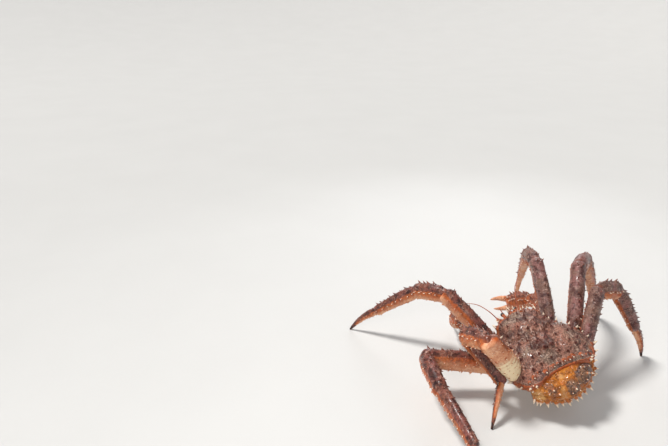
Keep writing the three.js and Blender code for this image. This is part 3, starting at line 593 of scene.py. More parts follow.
# %% Materials of the hard parts
LEG_ZONES = (0.1, 0.42, 0.48, 0.62)
ARMOUR_LOOKS = {
    "wet_shell": dict(
        back=((0.075, 0.024, 0.018), (0.33, 0.137, 0.092), (0.265, 0.17, 0.12), (0.66, 0.47, 0.38)),
        foot=(0.14, 0.032, 0.022), tips=(WHITE_TIP, (0.085, 0.016, 0.012)), spots=46.0, scuffs=0.65,
        grain=430.0, pebbles=0.8, pit_shade=0.6, dry=0.56, wet=0.28, depth=0.0016,
    ),
    "left_leg_shell": dict(
        back=((0.03, 0.007, 0.006), (0.18, 0.05, 0.038), (0.2, 0.065, 0.04), (0.5, 0.29, 0.22)),
        foot=(0.22, 0.06, 0.035), tips=(WHITE_TIP, HORN), scuffs=0.6, grain=300.0, pebbles=0.4,
        zones=LEG_ZONES, dry=0.5, wet=0.26, depth=0.0009,
    ),
    "right_leg_shell": dict(
        back=((0.065, 0.02, 0.018), (0.25, 0.105, 0.092), (0.21, 0.11, 0.08), (0.56, 0.38, 0.32)),
        foot=(0.2, 0.05, 0.035), tips=(WHITE_TIP, HORN), scuffs=0.65, pebbles=0.7,
        zones=LEG_ZONES, dry=0.58, wet=0.34, depth=0.0012,
    ),
    "claw_shell": dict(
        back=((0.05, 0.012, 0.01), (0.19, 0.05, 0.03), (0.26, 0.075, 0.035), (0.45, 0.23, 0.16)),
        foot=(0.3, 0.08, 0.035), tips=(WHITE_TIP, (0.06, 0.02, 0.015)), spots=80.0, scuffs=0.55,
        grain=420.0,
    ),
    "abdomen_shell": dict(
        back=((0.07, 0.025, 0.02), (0.19, 0.09, 0.07), (0.22, 0.1, 0.045), (0.45, 0.3, 0.23)),
        side=(0.46, 0.12, 0.008), under=(0.7, 0.4, 0.14), foot=(0.46, 0.12, 0.025), spots=75.0,
        scuffs=0.55, pit_shade=0.7, zones=(0.14, 0.36, 0.52, 0.8), dry=0.5, wet=0.22, depth=0.002,
    ),
    "belly_shell": dict(
        back=((0.42, 0.2, 0.09), (0.6, 0.38, 0.2), (0.62, 0.42, 0.24), CREAM), side=(0.52, 0.22, 0.08),
        joint=ORANGE, foot=(0.5, 0.2, 0.08), spots=70.0, grain=300.0, pebbles=0.35,
    ),
    "feeler_shell": dict(
        back=((0.22, 0.03, 0.012), (0.42, 0.07, 0.02), (0.45, 0.1, 0.03), (0.55, 0.2, 0.08)),
        side=(0.5, 0.12, 0.03), foot=(0.45, 0.14, 0.05), spots=120.0, grain=700.0, pebbles=0.4,
        depth=0.0003,
    ),
}
MATERIALS = {name: armour(name, **look) for name, look in ARMOUR_LOOKS.items()}
print("armour for:", ", ".join(MATERIALS))

# %% [markdown]
# The eyes are black and glossy, with facets too small to count. A cell texture under a thin film of
# water gives their soft sparkle.

# %% Material of the eyes
FACETS_PER_METRE = 5200.0


def eye_gloss():
    material, tree, shader = new_material("eye_gloss")
    facets = node(tree, "TexVoronoi", Vector=where(tree), Scale=FACETS_PER_METRE)
    glow = ramp(tree, fuzz(tree, 400.0), 0.45, 0.7)
    feed(tree, mix(tree, glow, (0.012, 0.007, 0.006), (0.045, 0.02, 0.014)), shader["Base Color"])
    feed(tree, place(tree, WET_FILM, Dry=0.16, Wet=0.07)["Roughness"], shader["Roughness"])
    relief(tree, shader, facets.outputs["Distance"], 0.12, 0.0001)
    return material


MATERIALS["eye_gloss"] = eye_gloss()
print("materials:", len(MATERIALS))

# %% [markdown]
# ## The shell
# The shell is a low dome over a pear-shaped outline, with swellings over the stomach, the heart and
# the gills and grooves between them. Half the outline is drawn and mirrored, so both sides match.
# Rings run from the crown to the rim, whose margin behind is a cord-like ridge.

# %% Outline and relief of the shell
SHELL_MIDDLE, DOME_RISE = 0.42, 0.2
RIM_REAR, RIM_FRONT, SHELL_UNDER = 0.09, 0.07, -0.125
HALF_OUTLINE = [
    (0, 1.02), (0.1, 0.99), (0.2, 0.965), (0.275, 0.91), (0.325, 0.8), (0.365, 0.69), (0.44, 0.59),
    (0.51, 0.45), (0.54, 0.31), (0.515, 0.17), (0.44, 0.05), (0.33, 0), (0.18, 0.015), (0, 0.035),
]
# Height, place across and forward, half width and half length
SWELLINGS = [
    (0.055, 0, 0.7, 0.17, 0.15), (0.052, 0, 0.32, 0.1, 0.1), (0.05, 0.3, 0.33, 0.15, 0.2),
    (0.015, 0.23, 0.83, 0.07, 0.07), (0.012, 0.055, 0.3, 0.045, 0.07),
]
GROOVES = [(-0.022, 0, 0.515, 0.12, 0.035), (-0.026, 0.135, 0.32, 0.03, 0.13), (-0.018, 0, 0.12, 0.3, 0.035)]


def mirrored(half):
    """A closed line through a half outline, from front to rear, and its mirror image."""
    return curve(half + [(-x, y) for x, y in reversed(half[1:-1])], closed=True)


shell_line = mirrored(HALF_OUTLINE)
line_turns = np.arctan2(shell_line[:, 1] - SHELL_MIDDLE, shell_line[:, 0])
in_order = np.argsort(line_turns)


def rim_at(turn):
    """The rim's place across and forward in a direction, in radians from straight right."""
    turn = (np.asarray(turn) + math.pi) % (2 * math.pi) - math.pi
    angles, line = line_turns[in_order], shell_line[in_order]
    return [np.interp(turn, angles, line[:, k], period=2 * math.pi) for k in (0, 1)]


def rim_height(x, y):
    behind = RIM_REAR * (1 - smooth(0, 0.2, y)) * (1 - smooth(0.2, 0.5, abs(x)))
    return RIM_FRONT * smooth(0.72, 1, y) + behind


def relief_of(x, y):
    side = abs(x)
    swellings = sum(height * bump(side, y, *spot) for height, *spot in SWELLINGS)
    neck_across = 0.14 + 0.35 * smooth(0.48, 0.75, y)
    neck = -0.045 * bell(side, neck_across, 0.045) * bell(y, 0.56, 0.12)
    return sum((height * bump(side, y, *spot) for height, *spot in GROOVES), swellings + neck)


def shell_top(rim_x, rim_y, t):
    x = rim_x * t
    y = SHELL_MIDDLE + (rim_y - SHELL_MIDDLE) * t
    dome = DOME_RISE * (1 - np.clip(t, 0, 1) ** 2.6) ** 0.75
    z = rim_height(rim_x, rim_y) * t * t + dome + relief_of(x, y) * (1 - t**4)
    return np.stack([x, y, z], axis=-1)


def on_shell(x, y, step=0.01):
    """Places on the shell's top, with the outward direction and the share of the way to the rim."""

    def surface(px, py):
        rim_x, rim_y = rim_at(np.arctan2(py - SHELL_MIDDLE, px))
        reach = np.hypot(px, py - SHELL_MIDDLE) / np.hypot(rim_x, rim_y - SHELL_MIDDLE)
        return shell_top(rim_x, rim_y, np.minimum(reach, 1))[..., 2], reach

    z, reach = surface(x, y)
    slope_x = (surface(x + step, y)[0] - surface(x - step, y)[0]) / (2 * step)
    slope_y = (surface(x, y + step)[0] - surface(x, y - step)[0]) / (2 * step)
    out = unit(np.stack([-slope_x, -slope_y, np.ones_like(x)], axis=-1))
    return np.stack([x, y, z], axis=-1), out, reach


print("the shell is", round(2 * shell_line[:, 0].max() * SHELL_LENGTH, 3), "m wide")

# %% [markdown]
# The outer skin is dense enough for the granules' relief to bend the light, and it dips and swells a
# little everywhere, because nothing grown is a clean formula. Past the rim it rolls in below.

# %% Skin of the shell
SHELL_AROUND, SHELL_RINGS, RIM_RIDGE = 260, 84, 0.009
# The rolled rim and the underside: share of the rim, share of the fall
UNDER_ROWS = [
    (1.012, 0.06), (1.012, 0.16), (1.0, 0.3), (0.98, 0.45), (0.95, 0.65), (0.87, 0.9), (0.8, 1), (0.5, 0.98),
]


def shell_zone(x, y, t):
    """1 is the pigmented back, about a half the orange margin, 0 the cream underside."""
    front = smooth(0.62, 0.95, y) * smooth(0.84, 1.0, t)
    rear = smooth(0.945, 0.98, t) * (1 - smooth(0.1, 0.25, y))
    side = 0.8 * smooth(0.93, 1.0, t)
    corner = 0.8 * bump(x, y, 0.47, 0.12, 0.07, 0.07)
    return 1 - 0.52 * np.maximum(np.maximum(front, rear), np.maximum(side, corner))


def shell_skin(clay):
    rim_x, rim_y = rim_at(np.linspace(-math.pi, math.pi, SHELL_AROUND, endpoint=False))
    t = np.linspace(0.004, 1, SHELL_RINGS)[:, None] ** 0.85
    top = shell_top(rim_x[None], rim_y[None], t)
    uneven = 0.0045 * waves(top, 0.11, 3) + 0.0022 * waves(top, 0.045, 4, 22)
    top[..., 2] += uneven * (1 - 0.6 * t**6)
    top[..., 2] += RIM_RIDGE * bell(t, 0.985, 0.012) * (1 - smooth(0.1, 0.3, rim_y))[None]
    rows, zones = [top], [shell_zone(top[..., 0], top[..., 1], t)]
    for share, fall in UNDER_ROWS:
        z = rim_height(rim_x, rim_y) * (1 - fall) + SHELL_UNDER * fall
        row = np.stack([rim_x * share, SHELL_MIDDLE + (rim_y - SHELL_MIDDLE) * share, z], axis=-1)
        row += 0.004 * waves(row, 0.06, 5)[:, None] * (fall < 0.7)
        rows.append(row[None])
        zones.append(np.full((1, SHELL_AROUND), 0.48 - 0.45 * fall))
    clay.tube(np.vstack(rows), zone=np.vstack(zones))


print("points in the shell's top:", SHELL_AROUND * SHELL_RINGS)

# %% [markdown]
# The back's spines stand in loose rows about 2 cm apart, with two taller pairs on the heart, and small
# warts fill the ground between them. The rim carries the largest spines, in three rows, and the beak
# over the face is a group of its own. A warty row follows the rear margin.

# %% Spines of the shell
# Pitch, columns to each side, scatter and how far out: large spines and warts
TOP_SPINES, TOP_WARTS = (0.118, 9, 0.2, 0.9), (0.042, 17, 0.34, 0.985)
# Count, first turn and arc in degrees, length, share of the rim, lift
RIM_ROWS = [
    (14, 70, 122, 0.068, 0.97, 0), (24, 72, 128, 0.026, 0.985, -0.02), (20, 66, 118, 0.03, 0.93, 0.012),
]
# Place, direction, length and radius
BEAK = [
    [(0, 0.985, 0.078), (0, 1, 0.1), 0.135, 0.032],
    [(0.03, 0.985, 0.098), (0.3, 1, 0.8), 0.078, 0.021],
    [(0.012, 1.06, 0.092), (0.1, 0.6, 1), 0.035, 0.014],
    [(0.155, 0.955, 0.07), (0.3, 1, 0.25), 0.08, 0.022],
    [(0.255, 0.915, 0.055), (0.8, 1, 0.25), 0.076, 0.024],
    [(0.205, 0.945, 0.062), (0.5, 1, 0.3), 0.034, 0.014],
    [(0.095, 0.93, 0.13), (0.2, 0.6, 1), 0.045, 0.02],
]
TOP_LENGTH, HEART_LENGTH, HEART_RADIUS, REAR_WARTS = 0.04, 0.072, 0.034, 13


def top_places(pitch, half, scatter, reach):
    rows, columns = np.mgrid[0 : int(1.1 / pitch) + 1, -half : half + 1]
    x = (columns + (rows % 2) / 2) * pitch + rng.uniform(-scatter, scatter, rows.shape) * pitch
    y = 0.06 + rows * pitch * 0.87 + rng.uniform(-scatter, scatter, rows.shape) * pitch
    roots, outs, t = on_shell(x.ravel(), y.ravel())
    keep = t < reach
    return roots[keep], outs[keep], t[keep]


def shell_spines(clay):
    roots, outs, _ = top_places(*TOP_SPINES)
    x, y = roots[:, 0], roots[:, 1]
    raised = 1 + 0.3 * bump(x, y, 0, 0.7, 0.14, 0.14) + 0.25 * bump(abs(x), y, 0.3, 0.35, 0.15, 0.2)
    clear = bump(abs(x), y, 0.045, 0.33, 0.05, 0.05) < 0.5
    lengths = (TOP_LENGTH * raised * rng.uniform(0.75, 1.2, len(x)))[clear]
    plant(clay, roots[clear], outs[clear] + [0, 0.12, 0.1], lengths, 0.46 * lengths, 1.0, bend=(0, 0.12, 0))
    heart = np.array([[0.045 * side, y] for side in SIDES.values() for y in (0.27, 0.37)])
    roots, outs, _ = on_shell(*heart.T)
    plant(clay, roots, outs, HEART_LENGTH, HEART_RADIUS, 1.0, bend=(0, 0.15, 0))
    roots, outs, t = top_places(*TOP_WARTS)
    sizes = rng.uniform(0.006, 0.013, len(roots)) * rng.choice([0.8, 1.0, 1.35], len(roots))
    zones = shell_zone(roots[:, 0], roots[:, 1], t)
    plant(clay, roots - 0.15 * sizes[:, None] * outs, outs, sizes, 0.95 * sizes, zones, sides=6, mark=0.35)


def rim_spines(clay, side, count, start, arc, length, inward, lift):
    turns = np.radians(start - arc * (np.arange(count) + rng.uniform(-0.2, 0.2, count)) / (count - 1))
    rim_x, rim_y = rim_at(turns)
    forward = rim_y - SHELL_MIDDLE
    outs = unit(np.stack([rim_x, forward, np.full(count, 0.12 + 3 * lift)], axis=-1)) + [0, 0.22, 0]
    roots = np.stack([rim_x * inward, SHELL_MIDDLE + forward * inward, rim_height(rim_x, rim_y) + lift], -1)
    strongest = 0.35 * bell(rim_y, 0.2, 0.07) * (length > 0.05)
    lengths = length * rng.uniform(0.75, 1.2, count) * (1 + strongest)
    plant(clay, roots * flip(side), outs * flip(side), lengths, 0.4 * lengths, 0.5, bend=(0, 0.1, 0.05))


def rear_warts(clay):
    x = np.linspace(-0.38, 0.38, REAR_WARTS) + rng.uniform(-0.022, 0.022, REAR_WARTS)
    y = 0.062 + rng.uniform(-0.012, 0.022, REAR_WARTS) - 0.03 * abs(x)
    roots, outs, _ = on_shell(x, y)
    lengths = 0.024 * rng.uniform(0.45, 1.5, REAR_WARTS)
    plant(clay, roots, outs + [0, -0.4, 0], lengths, 0.8 * lengths, 0.55, mark=0.7)


shell = Clay()
shell_skin(shell)
shell_spines(shell)
for side in SIDES.values():
    for rim_row in RIM_ROWS:
        rim_spines(shell, side, *rim_row)
rear_warts(shell)
for root, out, length, radius in BEAK:
    for side in SIDES.values() if root[0] else (1,):
        plant(shell, root * flip(side), out * flip(side), length, radius, 0.5, bend=(0, 0.05, 0.1))
make_piece("carapace", shell, MATERIALS["wet_shell"])
print("shell:", shell.count, "points")

# %% [markdown]
# ## The thorax
# Under the shell, the plates that carry the legs form a boat with a groove between each pair of
# legs. Little of it shows, but the model is walked round, so the grooves are there: a narrow bell in
# each gap lifts the skin and draws it in.

# %% Thorax
THORAX_HALF_OUTLINE = [
    (0, 0.9), (0.1, 0.88), (0.18, 0.78), (0.235, 0.62), (0.26, 0.44),
    (0.25, 0.26), (0.23, 0.1), (0.18, -0.03), (0.1, -0.06), (0, -0.065),
]
THORAX_MIDDLE, THORAX_BOTTOM = 0.46, -0.315
LEG_PLACES = (0.24, 0.42, 0.6, 0.76)
LEG_GAPS = [(a + b) / 2 for a, b in zip(LEG_PLACES, LEG_PLACES[1:])]


def thorax_skin(clay):
    line = mirrored(THORAX_HALF_OUTLINE)[::3]
    fall = np.linspace(0.02, 1, 40)
    share = np.interp(fall, [0, 0.3, 0.75, 1], [1, 1.03, 0.93, 0.7])
    fall = np.append(fall, [1.0, 1.0, 1.0])[:, None]
    share = np.append(share, [0.45, 0.22, 0.02])[:, None]
    x = line[None, :, 0] * share
    y = THORAX_MIDDLE + (line[None, :, 1] - THORAX_MIDDLE) * share
    z = SHELL_UNDER + (THORAX_BOTTOM - SHELL_UNDER) * fall + 0 * x
    points = np.stack([x, y, z], axis=-1)
    groove = (sum(bell(y, gap, 0.012) for gap in LEG_GAPS) + bell(x, 0, 0.008)) * smooth(0.2, 0.6, fall)
    points[..., 2] += 0.012 * groove
    points[..., :2] *= (1 - 0.03 * groove)[..., None]
    points += 0.004 * waves(points, 0.07, 21)[..., None]
    clay.tube(points, zone=0.3 + 0.25 * groove)


thorax = Clay()
thorax_skin(thorax)
make_piece("thorax", thorax, MATERIALS["belly_shell"])
print("thorax:", thorax.count, "points")

# %% [markdown]
# ## Limbs
# Every limb is a chain of tubes that are higher than they are wide, with a keel on top. Each joint's
# place follows from the lengths and two angles, a turn and a rise over the floor, so a leg is posed
# as it is on the animal. The last segment falls by whatever angle brings its tip to the floor.


# %% Directions and joints
def heading(side, turn, rise):
    """A direction from its turn forward and its rise over the floor, in the body's frame."""
    turn, rise = math.radians(turn), math.radians(rise)
    flat = math.cos(rise)
    return np.array(TILT.transposed()) @ [side * flat * math.cos(turn), flat * math.sin(turn), math.sin(rise)]


def joints_of(side, base, lengths, bends):
    joints = [np.array(base) * flip(side)]
    for length, (turn, rise) in zip(lengths, bends):
        joints.append(joints[-1] + length * heading(side, turn, rise))
    return joints


def leg_joints(side, base, lengths, bends):
    joints = joints_of(side, base, lengths, bends[:-1])
    fall = math.degrees(math.asin((joints[-1] @ UP + STANDING_HEIGHT) / lengths[-1]))
    return [*joints, joints[-1] + lengths[-1] * heading(side, bends[-1][0], -fall)]


print("a limb straight right heads for", heading(1, 0, 0).round(2))

# %% [markdown]
# A segment starts as a narrow neck inside the collar of the one before it, swells, and ends in a
# collar of its own. Collar and neck are what make a row of tubes read as jointed armour and not as a
# bent pipe. One surface function gives any place on it, from shares along the tube and angles round
# it, with 0 on top, for the skin and for the roots of the spines.

# %% The surface of a segment
SQUARENESS, NECK, CAP_ROWS = 0.88, 0.8, 7


def segment_surface(a, b, look, girth, rings, seed):
    heights, widths = (girth * np.array(look[way]) for way in ("heights", "widths"))
    blunt, keel = not look.get("pointed"), look.get("keel", 0.07)
    length = np.linalg.norm(b - a)
    forward = (b - a) / length
    up = unit(UP - forward * (UP @ forward))
    side = np.cross(forward, up)
    start_cap, end_cap = 0.55 * heights[0] / length, 0.5 * heights[-1] / length * blunt

    def surface(t, turn):
        inside = np.clip(t, 0, 1)
        full = NECK + (1 - NECK) * smooth(0.0, 0.2, t) + 0.05 * bell(t, 0.93, 0.05) * blunt
        full = full - 0.035 * bell(t, 0.82, 0.05) * blunt
        full = full + 0.07 * sum(smooth(ring - 0.03, ring, t) * (t < ring) for ring in rings)
        full = full * np.sqrt(np.clip(1 - (np.minimum(t, 0) / start_cap) ** 2, 0.003, 1))
        if blunt:
            full = full * np.sqrt(np.clip(1 - (np.maximum(t - 1, 0) / end_cap) ** 2, 0.003, 1))
        bow = look.get("bow", 0.0) * length * 4 * inside * (1 - inside)
        middle = a + (b - a) * t[..., None] + up * bow[..., None]
        cosine, sine = np.cos(turn), np.sin(turn)
        high = along(heights, t) * full * np.sign(cosine) * abs(cosine) ** SQUARENESS
        wide = along(widths, t) * full * np.sign(sine) * abs(sine) ** SQUARENESS
        high = high * (1 + keel * np.clip(cosine, 0, 1) ** 6)
        out = unit(up * (cosine / along(heights, t))[..., None] + side * (sine / along(widths, t))[..., None])
        points = middle + up * high[..., None] + side * wide[..., None]
        rough = 0.0022 * waves(points, 0.06, 31 + seed) + 0.0012 * waves(points, 0.025, 32 + seed)
        return points + out * (rough * np.minimum(full, 1))[..., None], out

    return surface, forward, (-start_cap, 1 + end_cap)


def spacing(low, high, count):
    """Shares along a segment, closer together in its rounded ends."""
    start = low * np.cos(np.linspace(0.05, math.pi / 2, CAP_ROWS, endpoint=False))
    body = np.linspace(0, 1, count)
    if high <= 1:
        return np.concatenate([start, 0.994 * body])
    end = 1 + (high - 1) * np.sin(np.linspace(math.pi / 2, 0.05, CAP_ROWS, endpoint=False))[::-1]
    return np.concatenate([start, body, end])


print("rows in a plain segment:", len(spacing(-0.1, 1.1, 36)))

# %% [markdown]
# A segment's spines stand in rows: a crest of strong ones, two rows on each shoulder and weaker
# ones below. Their sizes and places wander a little. Small warts fill in between. A look gives the
# rows of one kind of segment, and every row off the top is planted on both sides.


# %% Build a segment
LIMB_ROWS, RINGED_ROWS, LIMB_SIDES = 36, 60, 32
STOUTNESS, BEND = 0.42, 0.22  # a spine's radius and the lean of its point, as shares of its length
CREST = 10  # degrees from the top within which a row has no twin


def limb_segment(name, a, b, look, material, slot, zone_of, seed, girth=1.0, spines=1.0, rings=()):
    pointed = look.get("pointed", False)
    surface, forward, (low, high) = segment_surface(a, b, look, girth, rings, seed)
    clay = Clay()
    t = spacing(low, high, RINGED_ROWS if rings else LIMB_ROWS)[:, None]
    t, turns = np.broadcast_arrays(t, round_turns(LIMB_SIDES)[None])
    joint = np.maximum(0.9 * (1 - smooth(0.0, 0.085, t)), 0.5 * smooth(0.985, 1.03, t) * (not pointed))
    zones = zone_of(t, turns)
    if pointed:
        zones = np.maximum(zones, smooth(0.72, 0.82, t))
    clay.tube(surface(t, turns)[0], zone=zones, joint=joint, tip=smooth(0.8, 0.93, t) * pointed)
    own = np.random.default_rng(100 + seed)
    rows = [(*row, side) for row in look["rows"] for side in ((1, -1) if row[3] > CREST else (1,))]
    for count, first, last, angle, size, side in rows:
        row = np.linspace(first, last, count) + own.uniform(-0.25, 0.25, count) * (last - first) / count
        turn = np.radians(side * angle + own.uniform(-7, 7, count))
        roots, outs = surface(row, turn)
        lengths = spines * size * own.uniform(0.7, 1.2, count)
        zones = np.minimum(zone_of(row, turn), PALE_TIPPED)
        pale = 1 - 0.5 * smooth(0.6, 0.8, zones)
        outs, radii = outs + look.get("lean", 0.35) * forward, STOUTNESS * lengths
        plant(clay, roots, outs, lengths, radii, zones, bend=BEND * forward, sides=8, mark=pale)
    warts = look["warts"]
    row, turn = own.uniform(0.06, 0.97, warts), own.uniform(0, 2 * math.pi, warts)
    roots, outs = surface(row, turn)
    sizes = girth * own.uniform(0.005, 0.011, warts) * (1 - 0.6 * pointed * row)
    roots, zones = roots - 0.1 * sizes[:, None] * outs, np.minimum(zone_of(row, turn), PALE_TIPPED)
    plant(clay, roots, outs + 0.3 * forward, sizes, 0.8 * sizes, zones, sides=5, mark=0.4)
    make_piece(name, clay, material)


print("rows of points in a segment:", LIMB_ROWS, "or, with rings,", RINGED_ROWS)

# %% [markdown]
# ### Walking legs
# Each leg has a short hip, a long thigh, a knee, a long shin and a curved, pointed tip of horn that
# stands on the floor. Dark pigment covers the top, an orange band runs along the sides, and the
# underside is cream; the hips are nearly all cream.

# %% Looks of the leg's segments
# Each row of spines: count, first and last share of the length, degrees from the top, length
LEG_LOOKS = {
    "hip": dict(
        dark=-0.4, heights=[0.07, 0.085, 0.085], widths=[0.06, 0.068, 0.066], keel=0.02, warts=60,
        rows=[(3, 0.55, 0.9, 0, 0.022), (2, 0.6, 0.9, 70, 0.018), (2, 0.5, 0.9, 150, 0.02)],
    ),
    "thigh": dict(
        dark=0.03, heights=[0.085, 0.1, 0.104, 0.098], widths=[0.066, 0.074, 0.076, 0.072], bow=0.02,
        warts=150, rows=[
            (8, 0.1, 0.92, 0, 0.038), (5, 0.14, 0.9, 40, 0.02), (7, 0.12, 0.92, 80, 0.026),
            (4, 0.14, 0.9, 112, 0.016), (7, 0.14, 0.94, 145, 0.03), (1, 0.97, 0.97, 20, 0.042),
        ],
    ),
    "knee": dict(
        dark=0.08, heights=[0.094, 0.1, 0.09], widths=[0.07, 0.074, 0.066], bow=0.03, warts=90, rows=[
            (5, 0.14, 0.9, 0, 0.042), (3, 0.2, 0.88, 40, 0.024), (5, 0.2, 0.95, 82, 0.032),
            (4, 0.3, 0.92, 135, 0.026),
        ],
    ),
    "shin": dict(
        dark=0.06, heights=[0.088, 0.08, 0.07, 0.06], widths=[0.064, 0.056, 0.05, 0.044], bow=0.015,
        warts=120, rows=[
            (8, 0.08, 0.92, 0, 0.032), (4, 0.12, 0.9, 40, 0.018), (8, 0.08, 0.95, 84, 0.029),
            (6, 0.1, 0.94, 140, 0.026),
        ],
    ),
    "tip": dict(
        dark=0.0, heights=[0.056, 0.042, 0.03, 0.012], widths=[0.042, 0.032, 0.023, 0.01], bow=0.06,
        pointed=True, warts=50, keel=0.1, lean=0.6,
        rows=[(4, 0.06, 0.45, 25, 0.016), (5, 0.06, 0.5, 85, 0.017), (5, 0.08, 0.55, 155, 0.016)],
    ),
}
print("segments in a leg:", ", ".join(LEG_LOOKS))

# %% [markdown]
# The zone mark goes from cream underneath, through orange, to the dark top, by the angle round the
# leg. A leg that is twisted in its socket shows its dark side elsewhere, so the stance also says how
# far that side is turned round a segment. The left rear thigh's root is pale: low rings cross it,
# and they are its palest part. The tip's last fifth is dark horn, so it also carries the mark of a
# spine's tip.

# %% Make the six legs
LEGS = {
    "front": dict(base=(0.215, 0.6, -0.19), lengths=(0.27, 0.88, 0.45, 0.7, 0.57), girth=1.14),
    "middle": dict(base=(0.235, 0.42, -0.2), lengths=(0.28, 0.95, 0.48, 0.75, 0.6), girth=1.22),
    "rear": dict(base=(0.2, 0.24, -0.2), lengths=(0.25, 0.8, 0.42, 0.66, 0.54), girth=1.16),
}
# Turn and rise of each segment in degrees, and where the dark side is turned
STANCE = {
    ("left", "front"): [[(42, 8), (55, 36), (62, -14), (40, -38), (40,)], dict(thigh=30, knee=20, shin=20)],
    ("left", "middle"): [
        [(14, 6), (19, 7), (-84, -9), (-88, -8), (-55,)], dict(thigh=42, knee=-14, shin=-14)
    ],
    ("left", "rear"): [[(0, 6), (0, 52), (84, -22), (-130, -44), (-46,)], dict(thigh=66, knee=30, tip=115)],
    ("right", "front"): [[(45, 14), (74, 42), (66, -14), (54, -50), (58,)], {}],
    ("right", "middle"): [[(12, 20), (52, 46), (34, -14), (22, -54), (30,)], dict(thigh=-10)],
    ("right", "rear"): [[(0, 14), (40, 52), (10, -14), (-18, -58), (-5,)], dict(thigh=-18, shin=-30)],
}
USUALLY_TOWARDS = 10
RING_PLACES, RING_PITCH = (0.36, 0.43, 0.5, 0.57), 0.07
RINGED, SPARSE = "leg_left_rear_thigh", "leg_right_middle_knee"


def leg_zone(share_dark, towards, pale_root):
    def zone(t, turn):
        round_leg = 0.5 + 0.5 * np.cos(turn - math.radians(towards))
        bands = 0.8 + 0.2 * np.cos(2 * math.pi * (t - RING_PLACES[0]) / RING_PITCH)
        root = pale_root * bands * (1 - smooth(0.42, 0.78, t))
        return np.clip(round_leg + share_dark - root, -0.6, 1.0)

    return zone


def make_leg(side_name, pair, bends, dark_towards, seed):
    side, leg, shell_look = SIDES[side_name], LEGS[pair], MATERIALS[side_name + "_leg_shell"]
    joints = leg_joints(side, leg["base"], leg["lengths"], bends)
    for i, (segment, look) in enumerate(LEG_LOOKS.items()):
        name = f"leg_{side_name}_{pair}_{segment}"
        ringed, spines = name == RINGED, 0.5 if name == SPARSE else 1.0
        towards = -side * dark_towards.get(segment, USUALLY_TOWARDS)
        zone, rings = leg_zone(look["dark"], towards, 0.85 * ringed), RING_PLACES if ringed else ()
        ends = joints[i : i + 2]
        limb_segment(name, *ends, look, shell_look, "leg", zone, seed + i, leg["girth"], spines, rings)


for number, (leg_name, stance) in enumerate(STANCE.items()):
    make_leg(*leg_name, *stance, seed=10 * (number + 1))
print("pieces so far:", len(PIECES))

# %% [markdown]
# ### Claws
# The claws are shorter and stronger than the legs: a wrist like a spiny ball and a swollen hand. The
# right one is the crusher. They are segments like the legs', so only their looks are new.

# %% Looks of the claws
CLAW_BASE = (0.15, 0.76, -0.2)
CLAW_LENGTHS = (0.2, 0.4, 0.27, 0.36, 0.34)
CLAW_LOOKS = {
    "hip": dict(
        heights=[0.055, 0.062], widths=[0.05, 0.055], keel=0.02, warts=40, rows=[(2, 0.5, 0.9, 60, 0.02)]
    ),
    "arm": dict(
        heights=[0.062, 0.08, 0.084], widths=[0.056, 0.066, 0.07], bow=0.02, warts=90,
        rows=[(5, 0.2, 0.92, 0, 0.045), (4, 0.3, 0.92, 50, 0.038), (4, 0.3, 0.9, 110, 0.03)],
    ),
    "wrist": dict(
        heights=[0.08, 0.09, 0.084], widths=[0.07, 0.08, 0.078], warts=110, rows=[
            (5, 0.15, 0.9, 5, 0.05), (4, 0.2, 0.9, 45, 0.046), (4, 0.2, 0.9, 85, 0.036),
            (3, 0.3, 0.9, 130, 0.026),
        ],
    ),
    "hand": dict(
        heights=[0.086, 0.12, 0.11], widths=[0.075, 0.092, 0.08], warts=200, rows=[
            (6, 0.12, 0.85, 4, 0.046), (5, 0.15, 0.85, 35, 0.038), (5, 0.2, 0.85, 68, 0.03),
            (4, 0.2, 0.8, 105, 0.022),
        ],
    ),
}
CLAWS = {
    "left": dict(size=0.9, bends=[(56, -8), (50, 12), (76, -8), (112, -26)], seed=300),
    "right": dict(size=1.0, bends=[(50, -4), (42, 16), (76, -8), (112, -32)], seed=320),
}
print("segments in a claw's arm:", ", ".join(CLAW_LOOKS))

# %% [markdown]
# A finger is a curved, tapering cream tube, orange brown at its root. Its inner edge bears rounded teeth,
# largest near the hinge, and warts stand on its back. Each is a ring of points carried along a bow.

# %% Make the claws
FINGER_STATIONS = [-0.22, -0.1, 0.0, 0.25, 0.5, 0.75, 0.92, 1.0]
FINGER_TAPER = [0.5, 0.86, 1.0, 0.86, 0.68, 0.46, 0.28, 0.1]
FINGER_SIDES, ROOT_ROWS, FINGER_ROWS, TEETH, FINGER_WARTS = 26, 10, 44, 8, 34


